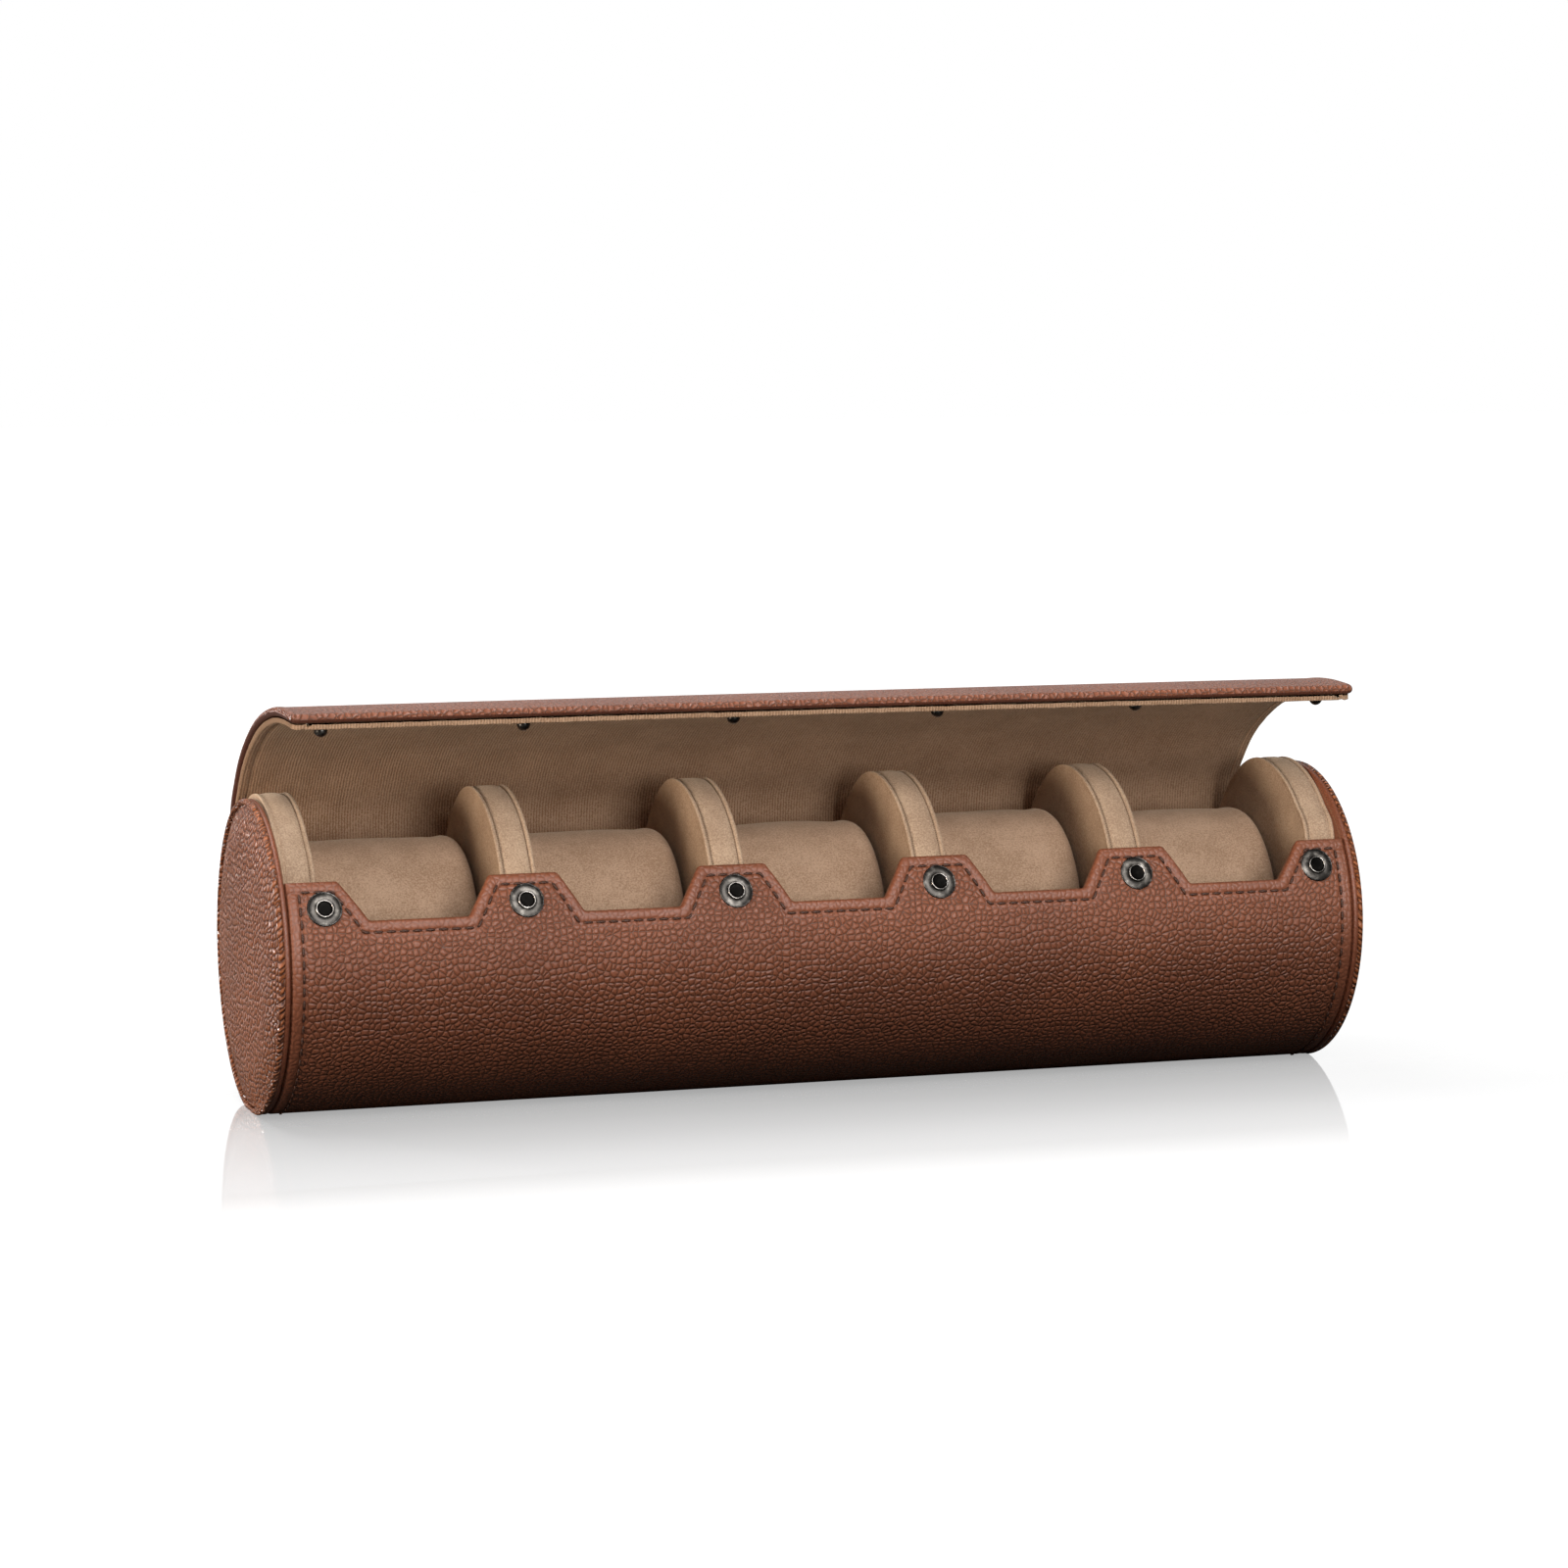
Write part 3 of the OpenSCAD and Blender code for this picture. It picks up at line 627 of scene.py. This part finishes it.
def shell_stitches():
    """Brown stitches along the tabs and down both ends."""
    reach = HALF_LEN - STITCH_INSET
    front = [
        ((x, *polar(SHELL_R, edge_angle(y))), (0, *polar(1, edge_angle(y))))
        for x, y in front_edge(STITCH_INSET)
        if abs(x) <= reach + 0.01
    ]
    top = edge_angle(TAB_SIDE - STITCH_INSET)
    down = spread(top, SPLIT_ANGLE - 360, 2.0)
    ends = [[((x, *polar(SHELL_R, a)), (0, *polar(1, a))) for a in down] for x in (-reach, reach)]
    piece = stitched("shell_stitches", [front] + ends, THREAD)
    flatten(piece)
    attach(piece, "case")


# Lid: one springy sheet, drawn along the smooth line of its inside as it stands open

LID_LINE = [
    polar(LINING_R, 190),
    polar(LINING_R, SPLIT_ANGLE),
    polar(LINING_R - 0.1, 169),
    (41.4, 14.0),
    (41.6, 23.5),
    (41.9, 31.0),
    (40.4, 38.6),
    (35.6, 45.4),
    (28.0, 53.4),
    (18.3, 60.1),
    (6.2, 66.1),
    (-6.0, 70.0),
    (-19.7, 72.6),
    (-31.0, 73.4),
    (-42.0, 73.2),
    (-46.8, 72.7),
    (-52.0, 71.9),
]


def through(points, t):
    """A smooth line through points: t counts them, and the line passes each in turn."""
    i = min(int(t), len(points) - 4)
    f = t - i
    p = [np.array(q, float) for q in points[i : i + 4]]
    return 0.5 * (
        2 * p[1]
        + (p[2] - p[0]) * f
        + (2 * p[0] - 5 * p[1] + 4 * p[2] - p[3]) * f * f
        + (3 * p[1] - p[0] - 3 * p[2] + p[3]) * f**3
    )


LID_SAMPLES = [through(LID_LINE, t) for t in np.linspace(0, len(LID_LINE) - 3, 700)]
LID_RUN = [0.0]
for near, far in zip(LID_SAMPLES, LID_SAMPLES[1:]):
    LID_RUN.append(LID_RUN[-1] + float(np.linalg.norm(far - near)))
LID_DEPTH = LID_RUN[-1]
LID_SPLIT = 0.5 * LID_DEPTH


def lid_place(s):
    """Point of the lid's inside at a run s from the shell, and the way out from it."""
    i = min(max(int(np.searchsorted(LID_RUN, s)), 3), len(LID_RUN) - 4)
    t = (s - LID_RUN[i - 1]) / (LID_RUN[i] - LID_RUN[i - 1])
    point = LID_SAMPLES[i - 1] * (1 - t) + LID_SAMPLES[i] * t
    along = LID_SAMPLES[i + 3] - LID_SAMPLES[i - 3]
    out = np.array([along[1], -along[0]]) / np.linalg.norm(along)
    return point, out


def lid_plan(x, s):
    """A place on the lid with its front corners rounded off, and its distance from the edge."""
    dx, ds = LID_HALF_LEN - abs(x), LID_DEPTH - s
    d = min(dx, ds)
    u, v = LID_CORNER_R - dx, LID_CORNER_R - ds
    if u > 0 and v > 0:
        share = max(u, v) / math.hypot(u, v)
        x = math.copysign(LID_HALF_LEN - LID_CORNER_R + u * share, x)
        s = LID_DEPTH - LID_CORNER_R + v * share
    return x, s, d


def lid_point(x, s, out):
    """A point at a height out from the lid's inside line."""
    point, normal = lid_place(s)
    y, z = point + normal * out
    droop = LID_DROOP * (0.5 + x / LID_HALF_LEN / 2) ** 2 * (s / LID_DEPTH) ** 2
    return (x, float(y), float(z) - droop)


def lid_runs(low, high):
    """Runs from the shell, closer together at the front edge and at both ends of a half."""
    runs = [low, low + 0.05] + spread(low + 1, min(high, LID_DEPTH - 6) - 1, 2.2)
    if high < LID_DEPTH:
        return runs + [high - 0.05, high]
    return runs + [LID_DEPTH - s for s in reversed(EDGE_STEPS)]


def lid_skin(name, low, high, side, material):
    """Leather of one half of the lid: its outside (1), or its turned edge and inside (-1)."""
    xs, runs = end_steps(LID_HALF_LEN), lid_runs(low, high)
    middle, half = (LID_T + LID_LEATHER_LOW) / 2, (LID_T - LID_LEATHER_LOW) / 2

    def along_hide(d):
        return half * math.acos(1 - d / half) if d < half else d + half * (math.pi / 2 - 1)

    points, places, grain = [], [], []
    for s in runs:
        for x in xs:
            px, ps, d = lid_plan(x, s)
            h = math.sqrt(1 - (1 - d / half) ** 2) if d < half else 1
            out = middle + side * half * h + (LID_PUFF * puff(d) if side > 0 else 0)
            points.append(lid_point(px, ps, out))
            across = math.copysign(LID_HALF_LEN - along_hide(LID_HALF_LEN - abs(x)), x)
            places.append((across, 10 + LID_DEPTH - along_hide(LID_DEPTH - s)))
            grain.append(1.0)
    faces = quads(len(runs), len(xs), flip=side < 0)
    return make(name, points, faces, material, places, grain)


def suede_lip(d):
    """Share of the suede's thickness at a distance from its raw edge."""
    steps = [(0, 0), (0.08, 0.35), (0.25, 0.7), (0.5, 0.9), (0.8, 0.98), (1.1, 1)]
    return float(np.interp(d, [a for a, _ in steps], [b for _, b in steps]))


def lid_suede(name, low, high):
    """Suede of one half of the lid, a little proud of the leather that is turned in round it."""
    shrink = LID_SUEDE_INSET / EDGE_STEPS[-1]
    xs, runs = end_steps(LID_HALF_LEN), lid_runs(low, high)
    points, places = [], []
    for s in runs:
        for x in xs:
            px, ps, d = lid_plan(x, s)
            if d < EDGE_STEPS[-1]:
                pull = LID_SUEDE_INSET - shrink * d - 0.75 * min(d, 0.5)
                px -= math.copysign(pull, x) if LID_HALF_LEN - abs(x) < EDGE_STEPS[-1] else 0
                ps -= pull if LID_DEPTH - s < EDGE_STEPS[-1] else 0
            drop = LID_SUEDE_TOP + LID_SUEDE_PROUD
            fuzz = 0.12 * noise.noise(Vector((x, s, 3)) * 0.6)
            fuzz += 0.08 * noise.noise(Vector((x, s, 9)) * 2)
            hem = 0.6 * max(0.0, thread_groove(LID_HALF_LEN - abs(x)))
            out = LID_SUEDE_TOP - drop * suede_lip(d) + fuzz + hem
            points.append(lid_point(px, ps, out))
            places.append((x, s))
    faces = quads(len(runs), len(xs), flip=True)
    return make(name, points, faces, LINING, places)


def lid():
    """Two halves that meet out of the way of both bends."""
    halves = [
        ("rear", 0.0, LID_SPLIT, ("case", "lid_back"), SHELL_BEND, "lid_back"),
        ("front", LID_SPLIT, LID_DEPTH, ("lid_back", "lid_front"), CREASE_BEND, "lid_front"),
    ]
    for part, low, high, bodies, bend, nodes in halves:
        skin = lid_skin("lid_skin_" + part, low, high, 1, LEATHER)
        # The turned edge and underside take the darker leather: painted shade on the lid's rolled
        # edge
        edge = lid_skin("lid_edge_" + part, low, high, -1, SHADED_EDGE_LEATHER)
        suede = lid_suede("lid_suede_" + part, low, high)
        for piece, slot in ((skin, "leather"), (edge, "smooth_leather"), (suede, "suede")):
            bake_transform(piece)
        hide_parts(nodes + "_leather", nodes + "_board")
        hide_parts(nodes + "_lining")
        if part == "front":
            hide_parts("snap_rivets")


# End caps, turned about the case's axis


def turned(name, profile, side, material, sides=192):
    """A piece turned from (radius, distance out from the shell's end).

    The two caps' faces lie 400 mm apart on the hide, so their pebbles differ.
    """
    points, places = [], []
    for r, out in profile:
        for k in range(sides):
            y, z = polar(r, 360 * k / sides)
            points.append((side * (HALF_LEN + out), y, z))
            places.append((y + side * 200, z + out * 0.7))
    faces = quads(len(profile), sides, closed=True, flip=side > 0)
    piece = make(name, points, faces, material, places)
    flatten(piece)
    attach(piece, "case")
    return piece


def arc(centre, r, low, high, steps):
    """Points of an arc, by angles in degrees."""
    angles = [math.radians(low + (high - low) * i / steps) for i in range(steps + 1)]
    return [(centre[0] + r * math.cos(a), centre[1] + r * math.sin(a)) for a in angles]


def end_caps():
    """Padded face, piped cord and smooth band of each cap."""
    dome = []
    for i in range(25):
        left = 1 - i / 24
        shoulder = CAP_SHOULDER_RISE * math.sin(math.pi * min(1, i / 8))
        dome.append((CAP_RIM_R * left, CAP_RIM_OUT + CAP_DOME_RISE * (1 - left**3) + shoulder))
    face = [(45.35, 2.2), (45.2, 2.7), (44.7, 2.85), (44.1, 2.9)]
    face += dome[:-1] + [(0.01, dome[-1][1])]
    cord = arc(PIPING_PLACE, PIPING_R, -100, 200, 14)
    band = [(38.0, -0.06), (45.2, -0.08), (45.7, 0.05), (46.5, 0.5), (46.85, 0.6)]
    band += [(47.0, 0.8), (47.0, 1.6), (46.8, 1.95), (46.3, 2.1)]
    for word, side in (("left", -1), ("right", 1)):
        for part, profile, material, slot in (
            # Face and piping take the cap hide, painted lighter as a painted highlight and darker in
            # its valleys as painted shade
            ("face", face, CAP_LEATHER_PAINTED_LIT, "leather"),
            ("piping", cord, CAP_LEATHER_PAINTED_LIT, "leather"),
            ("band", band, BAND_LEATHER, "smooth_leather"),
        ):
            piece = turned("%s_cap_%s_skin" % (word, part), profile, side, material)
            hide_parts("%s_cap_%s" % (word, part))


# Dividers and cushions


def outline_of(node, steps):
    """Distance from the axis to a node's outside, at even angles."""
    spots = [(v.co.y / MM, v.co.z / MM - AXIS_Z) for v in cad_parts[node].data.vertices]
    outside = {}
    for y, z in spots:
        a = round(math.degrees(math.atan2(z, -y)) / 3) % 120
        outside[a] = max(outside.get(a, 0), math.hypot(y, z))
    known = sorted(outside)
    reach = np.interp(
        np.arange(steps) * 360 / steps,
        [3 * a for a in known] + [360],
        [outside[a] for a in known] + [outside[known[0]]],
    )
    weights = np.hanning(21) / np.hanning(21).sum()
    return np.convolve(np.concatenate([reach[-10:], reach, reach[:10]]), weights, "valid")


def divider(index):
    """A padded suede disc: domed faces, a flat rim band and a raised seam on each rim edge."""
    node = "divider_%d_cover" % index
    low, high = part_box(node)
    middle, half = (low.x + high.x) / 2 / MM, (high.x - low.x) / 2 / MM
    steps = 240
    cap_face = HALF_LEN - 0.12
    reach = outline_of(node, steps)
    if index in (1, 6):
        turns = np.arange(steps) * 360 / steps
        share = np.interp(turns, END_DIVIDER_TURNS, [0, 1, 1, 0])
        reach = reach + share * np.maximum(0, END_DIVIDER_R - reach)
    face = [(0.0, 0.35), (0.35, 0.32), (0.65, 0.22), (0.85, 0.05), (0.94, -0.1), (0.98, -0.2)]
    rim = [
        (half - 0.3, -0.75),
        (half - 0.05, -0.35),
        (half - 0.15, 0.0),
        (half - 0.6, 0.12),
        (half - 1.05, 0.0),
        (half - 1.3, -0.4),
        (half - 1.5, -0.65),
        (half - 1.7, -0.4),
        (half - 2.0, -0.15),
        (half - 2.8, 0.0),
        (1.2, 0.1),
    ]
    profile = [(-(half + out), share, 0.0) for share, out in face]
    profile += [(-x, 1.0, fall) for x, fall in rim] + [(x, 1.0, fall) for x, fall in reversed(rim)]
    profile += [(half + out, share, 0.0) for share, out in reversed(face)]
    points = []
    for x, share, fall in profile:
        for k in range(steps):
            a = 360 * k / steps
            ripple = 0.07 * noise.noise(Vector((k * 0.9, x * 1.5, index * 7))) if fall else 0
            r = (reach[k] - 0.1) * share + fall + ripple
            across = max(-cap_face, min(cap_face, middle + x))
            points.append((across, *polar(r, a)))
    faces = quads(len(profile), steps, closed=True, flip=True)
    piece = make("divider_%d_suede" % index, points, faces, DIVIDER_SUEDE)
    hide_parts(node)
    cord, links = [], []
    seam_x = half - DIVIDER_SEAM_INSET
    seams = [x for x in (seam_x, -seam_x) if abs(middle + x) < HALF_LEN - 4]
    round_cord = [(DIVIDER_SEAM_R, 0.0), (0.0, DIVIDER_SEAM_R)]
    round_cord += [(-u, -v) for u, v in round_cord]
    for x in seams:
        for u, v in round_cord:
            for k in range(steps):
                fuzz = 0.1 * noise.noise(Vector((k * 1.3, x, index * 5)))
                r = reach[k] - DIVIDER_SEAM_SINK + v + fuzz
                cord.append((middle + x + u + fuzz, *polar(r, 360 * k / steps)))
        links += quads(4, steps, len(cord) - 4 * steps, closed=True)
    seam = make("divider_%d_seam" % index, cord, links, PALE_THREAD)
    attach(seam, "case")
    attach(piece, "case")


def cushion(index):
    """An oval watch pillow with round shoulders, pressed flat against the lining below it."""
    node = "cushion_%d_cover" % index
    low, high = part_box(node)
    middle, half = (low.x + high.x) / 2 / MM, (high.x - low.x) / 2 / MM - 0.9
    centre_y, centre_z = CUSHION_CENTRE
    shoulder = CUSHION_SHOULDER
    lift = CUSHION_LIFTS[index - 1]
    steps = 120
    turns = [math.radians(a) for a in spread(0, 90, 9)]
    stations = [
        (half - shoulder * (1 - math.cos(t)), shoulder * (1 - math.sin(t))) for t in turns
    ]
    ends = [(half + 0.35, 0.0), (half + 0.3, 0.4), (half + 0.15, 0.8)]
    inner = spread(half - shoulder, 0, 3)[1:]
    points = []

    def ring(x, inset, share=1.0):
        for k in range(steps):
            a = 2 * math.pi * k / steps
            c, s = math.cos(a), math.sin(a)
            y = centre_y + share * (CUSHION_HALF_DEPTH - inset) * c
            z = centre_z + lift + share * (CUSHION_HALF_HEIGHT - inset) * s
            swell = 0.35 * noise.noise(Vector((x * 0.05 + index * 5, y * 0.05, z * 0.05)))
            y, z = y + swell * c, z + swell * s
            r = math.hypot(y, z)
            most = LINING_R - 0.55 - 0.4 * inset
            if r > most:
                y, z = y * most / r, z * most / r
            points.append((middle + x, y, z))

    rows = 0
    right = [(x, shoulder, share) for x, share in ends] + [(x, inset, 1.0) for x, inset in stations]
    right += [(x, 0.9 * (x / half) ** 2, 1.0) for x in inner]
    for x, inset, share in right:
        ring(x, inset, share)
        rows += 1
    for x, inset, share in reversed(right[:-1]):
        ring(-x, inset, share)
        rows += 1
    faces = quads(rows, steps, closed=True)
    piece = make("cushion_%d_suede" % index, points, faces, CUSHION_SUEDE)
    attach(piece, "cushion_%d" % index)
    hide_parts(node)


# Snaps on the tabs, turned about each snap's own axis


def snap_rings(name, profile, material, ripple=0.0, sides=96):
    """The same ring on all six snaps, from (radius, height over the snap's seat)."""
    t = math.radians(SNAP_ANGLE)
    out = Vector((0, -math.cos(t), math.sin(t)))
    up = Vector((0, math.sin(t), math.cos(t)))
    points, faces = [], []
    for x in SNAP_XS:
        start = len(points)
        for r, h in profile:
            for k in range(sides):
                a = 2 * math.pi * k / sides
                far = r + ripple * (k % 2)
                side = far * math.cos(a) * Vector((1, 0, 0)) + far * math.sin(a) * up
                points.append(Vector((x, 0, 0)) + (SNAP_SEAT_R + h) * out + side)
        faces += quads(len(profile), sides, start, closed=True)
    piece = make(name, points, faces, material)
    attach(piece, "case")
    return piece


def snaps():
    """Rolled rim, brushed flange, polished inner ring, and a shallow near-black floor inside that
    stands for the spring, painted shade of its deep hole.
    """
    rim = [(5.1, -0.35), (5.2, 0.05), (5.18, 0.35), (5.08, 0.52)]
    rim += [(4.95, 0.6), (4.82, 0.58), (4.72, 0.46)]
    flange = [(4.78, 0.47), (4.5, 0.56), (4.1, 0.64), (3.6, 0.68)]
    flange += [(3.1, 0.66), (2.8, 0.58), (2.6, 0.5)]
    ring = arc((2.45, 0.8), 0.26, -60, 240, 12)
    # The well is shallow; its near-black colour is painted shade of the deep hole
    well = [(2.35, 0.62), (2.25, 0.5), (2.0, 0.42), (1.6, 0.38), (0.8, 0.36), (0.01, 0.36)]
    piece = snap_rings("socket_rims", rim, GUNMETAL, 0.1)
    snap_rings("socket_flanges", flange, BRUSHED)
    snap_rings("socket_rings", ring, NICKEL)
    snap_rings("socket_wells_painted_shade", well, WELL_SHADE_METAL)
    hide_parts("snap_sockets")


# Carried-over pieces


def finish_frame_pieces():
    """Gives every piece that stays as drawn its own finish."""
    finishes = {"board": BOARD, "core": BOARD, "pad": FOAM, "foam": FOAM, "lining": LINING}
    for name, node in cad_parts.items():
        word = name.split("_")[-1]
        material = finishes.get(word)
        if name in ("snap_sockets", "snap_studs"):
            material = GUNMETAL
        elif name.startswith("snap"):
            material = NICKEL
        node.data.materials.clear()
        node.data.materials.append(material or LEATHER)
        node.data.polygons.foreach_set("use_smooth", [True] * len(node.data.polygons))


# Studio

MIRROR_FADE = 0.12
MIRROR_SHARE = 0.55
SHADE_SPREAD = 0.6
FLOOR_SHADE = 0.22
ROOM_LIGHT = 0.22
FLOOR_HALF = 6
FLAG_HALF = 0.4
FLAG_Y = -0.12
FLAG_TOP = 0.058
LAMP_AIM = Vector((0, 0, 0.05))
LAMPS = [
    ("front_softbox", (0.15, -1.5, 1.05), 0.9, 20.0, "#ffffff"),
    ("low_softbox", (0.1, -1.6, 0.3), 0.45, 9.0, "#ffffff"),
    ("left_softbox", (-1.4, -0.4, 0.12), 0.4, 16.0, "#ffefdc"),
    ("top_softbox", (-0.3, 0.25, 1.3), 0.8, 13.0, "#ffffff"),
]
SPOT_PLACE = (-0.89, 0.94, 0.23)
SPOT_AIM = Vector((-0.17, 0, 0.05))
SPOT_BEAM = {
    "energy": 60.0,
    "spot_size": math.radians(10),
    "spot_blend": 0.6,
    "shadow_soft_size": 0.12,
}
CAMERA_PLACE = (-0.43204, -1.307257, 0.248284)
CAMERA_TILT = 0.113
CAMERA_TURN = 0.317
CAMERA_LENS = 103.19
CAMERA_SENSOR = 36


def floor_material():
    """Polished white acrylic: white to the eye, with a shadow and a mirror image that fades; its
    glow is also dimmed near the case as painted shade.
    """
    material, tree = new_material("white_acrylic")
    place = add(tree, "ShaderNodeTexCoord").outputs["Object"]
    axes = add(tree, "ShaderNodeSeparateXYZ", {0: place})
    away = add(tree, "ShaderNodeMath", {0: axes.outputs["Y"]}, operation="ABSOLUTE")
    fall = add(tree, "ShaderNodeMath", {0: away, 1: -1 / MIRROR_FADE}, operation="MULTIPLY")
    fade = add(tree, "ShaderNodeMath", {0: fall}, operation="EXPONENT")
    share = add(tree, "ShaderNodeMath", {0: fade, 1: MIRROR_SHARE}, operation="MULTIPLY")
    # Painted shade: the floor's glow dims in a strip along the case, on top of any real shadow
    slow_fall = add(tree, "ShaderNodeMath", {0: fall, 1: SHADE_SPREAD}, operation="MULTIPLY")
    shade = add(tree, "ShaderNodeMath", {0: slow_fall}, operation="EXPONENT")
    values = {0: shade, 1: -FLOOR_SHADE, 2: 1.0}
    dimmed = add(tree, "ShaderNodeMath", values, operation="MULTIPLY_ADD")
    speck = add(tree, "ShaderNodeTexNoise", {"Vector": place, "Scale": 1 / (2.5 * MM)})
    values = {SHARE: speck, LOW: linear("#fefefe"), HIGH: linear("#ffffff")}
    tint = add(tree, "ShaderNodeMix", values, **COLOURS).outputs[MIXED]
    lit = add(tree, "ShaderNodeBsdfDiffuse", {"Color": linear("#8a8a8a")})
    glow = add(tree, "ShaderNodeEmission", {"Color": tint, "Strength": dimmed})
    base = add(tree, "ShaderNodeAddShader", {0: lit, 1: glow})
    mirror = add(tree, "ShaderNodeBsdfGlossy", {"Color": linear("#ffffff"), "Roughness": 0.05})
    seen = add(tree, "ShaderNodeMixShader", {0: share, 1: base, 2: mirror})
    dark = add(tree, "ShaderNodeBsdfDiffuse", {"Color": linear("#5a5856")})
    to_eye = add(tree, "ShaderNodeLightPath").outputs["Is Camera Ray"]
    whole = add(tree, "ShaderNodeMixShader", {0: to_eye, 1: dark, 2: seen})
    add(tree, "ShaderNodeOutputMaterial", {"Surface": whole})
    return material


def flag_material():
    """Black felt of the card that keeps the low lamp off the foot of the case."""
    material, tree = new_material("black_felt")
    place = add(tree, "ShaderNodeTexCoord").outputs["Object"]
    pile = add(tree, "ShaderNodeTexNoise", {"Vector": place, "Scale": 1 / (1.1 * MM)})
    values = {SHARE: pile, LOW: linear("#060606"), HIGH: linear("#101010")}
    tint = add(tree, "ShaderNodeMix", values, **COLOURS).outputs[MIXED]
    finish_material(tree, {"Base Color": tint, "Roughness": 1.0})
    return material


def studio_world():
    """White to the eye, a white sweep behind the case for its reflections, dim elsewhere."""
    world = bpy.data.worlds.new("studio")
    world.use_nodes = True
    tree = world.node_tree
    tree.nodes.clear()
    ray = add(tree, "ShaderNodeLightPath")
    way = add(tree, "ShaderNodeTexCoord").outputs["Generated"]
    axes = add(tree, "ShaderNodeSeparateXYZ", {0: way})
    values = {"Value": axes.outputs["Y"], "From Min": 0.3, "From Max": 0.7}
    behind = add(tree, "ShaderNodeMapRange", values, **SOFT)
    values = {"Value": axes.outputs["X"], "From Min": -0.1, "From Max": 0.15}
    right = add(tree, "ShaderNodeMapRange", values, **SOFT)
    values = {"Value": axes.outputs["Z"], "From Min": 0.3, "From Max": 0.6}
    above = add(tree, "ShaderNodeMapRange", values, **SOFT)
    low = add(tree, "ShaderNodeMath", {0: 1.0, 1: above}, operation="SUBTRACT")
    corner = add(tree, "ShaderNodeMath", {0: behind, 1: right}, operation="MULTIPLY")
    sweep = add(tree, "ShaderNodeMath", {0: corner, 1: low}, operation="MULTIPLY")
    values = {0: ray.outputs["Is Glossy Ray"], 1: sweep}
    mirror = add(tree, "ShaderNodeMath", values, operation="MULTIPLY")
    values = {0: ray.outputs["Is Camera Ray"], 1: mirror}
    share = add(tree, "ShaderNodeMath", values, operation="MAXIMUM")
    soft = add(tree, "ShaderNodeBackground", {"Color": (1, 1, 1, 1), "Strength": ROOM_LIGHT})
    white = add(tree, "ShaderNodeBackground", {"Color": (1, 1, 1, 1), "Strength": 1.0})
    mix = add(tree, "ShaderNodeMixShader", {0: share, 1: soft, 2: white})
    add(tree, "ShaderNodeOutputWorld", {"Surface": mix})
    return world


def card(name, corners, material):
    """A flat card that belongs to the studio."""
    mesh = bpy.data.meshes.new(name)
    mesh.from_pydata(corners, [], [(0, 1, 2, 3)])
    mesh.materials.append(material)
    piece = bpy.data.objects.new(name, mesh)
    bpy.context.scene.collection.objects.link(piece)
    return piece


def lamp(name, kind, place, aim, settings):
    """A lamp turned towards a point."""
    data = bpy.data.lights.new(name, kind)
    for key, value in settings.items():
        setattr(data, key, value)
    piece = bpy.data.objects.new(name, data)
    piece.location = place
    piece.rotation_euler = (aim - Vector(place)).to_track_quat("-Z", "Y").to_euler()
    bpy.context.scene.collection.objects.link(piece)


def studio():
    """Floor, soft lamps and the camera."""
    scene = bpy.context.scene
    scene.view_settings.view_transform = "Standard"
    scene.world = studio_world()
    h = FLOOR_HALF
    card("floor", [(-h, -h, 0), (h, -h, 0), (h, h, 0), (-h, h, 0)], floor_material())
    w, y, top = FLAG_HALF, FLAG_Y, FLAG_TOP
    flag = card("flag", [(-w, y, 0), (w, y, 0), (w, y, top), (-w, y, top)], flag_material())
    flag.visible_camera = False
    flag.visible_glossy = False

    for name, place, size, power, tint in LAMPS:
        disk = {"shape": "DISK", "size": size, "energy": power, "color": linear(tint)[:3]}
        lamp(name, "AREA", place, LAMP_AIM, disk)
    lamp("cap_spot", "SPOT", SPOT_PLACE, SPOT_AIM, SPOT_BEAM)

    data = bpy.data.cameras.new("camera")
    data.sensor_width = CAMERA_SENSOR
    data.lens = CAMERA_LENS
    data.clip_end = 50
    camera = bpy.data.objects.new("camera", data)
    camera.location = CAMERA_PLACE
    camera.rotation_euler = (math.pi / 2 - CAMERA_TILT, 0, -CAMERA_TURN)
    scene.collection.objects.link(camera)
    scene.camera = camera


finish_frame_pieces()
shell_skin()
shell_suede()
shell_stitches()
lid()
end_caps()
for number in range(1, 7):
    divider(number)
for number in range(1, 6):
    cushion(number)
snaps()
studio()
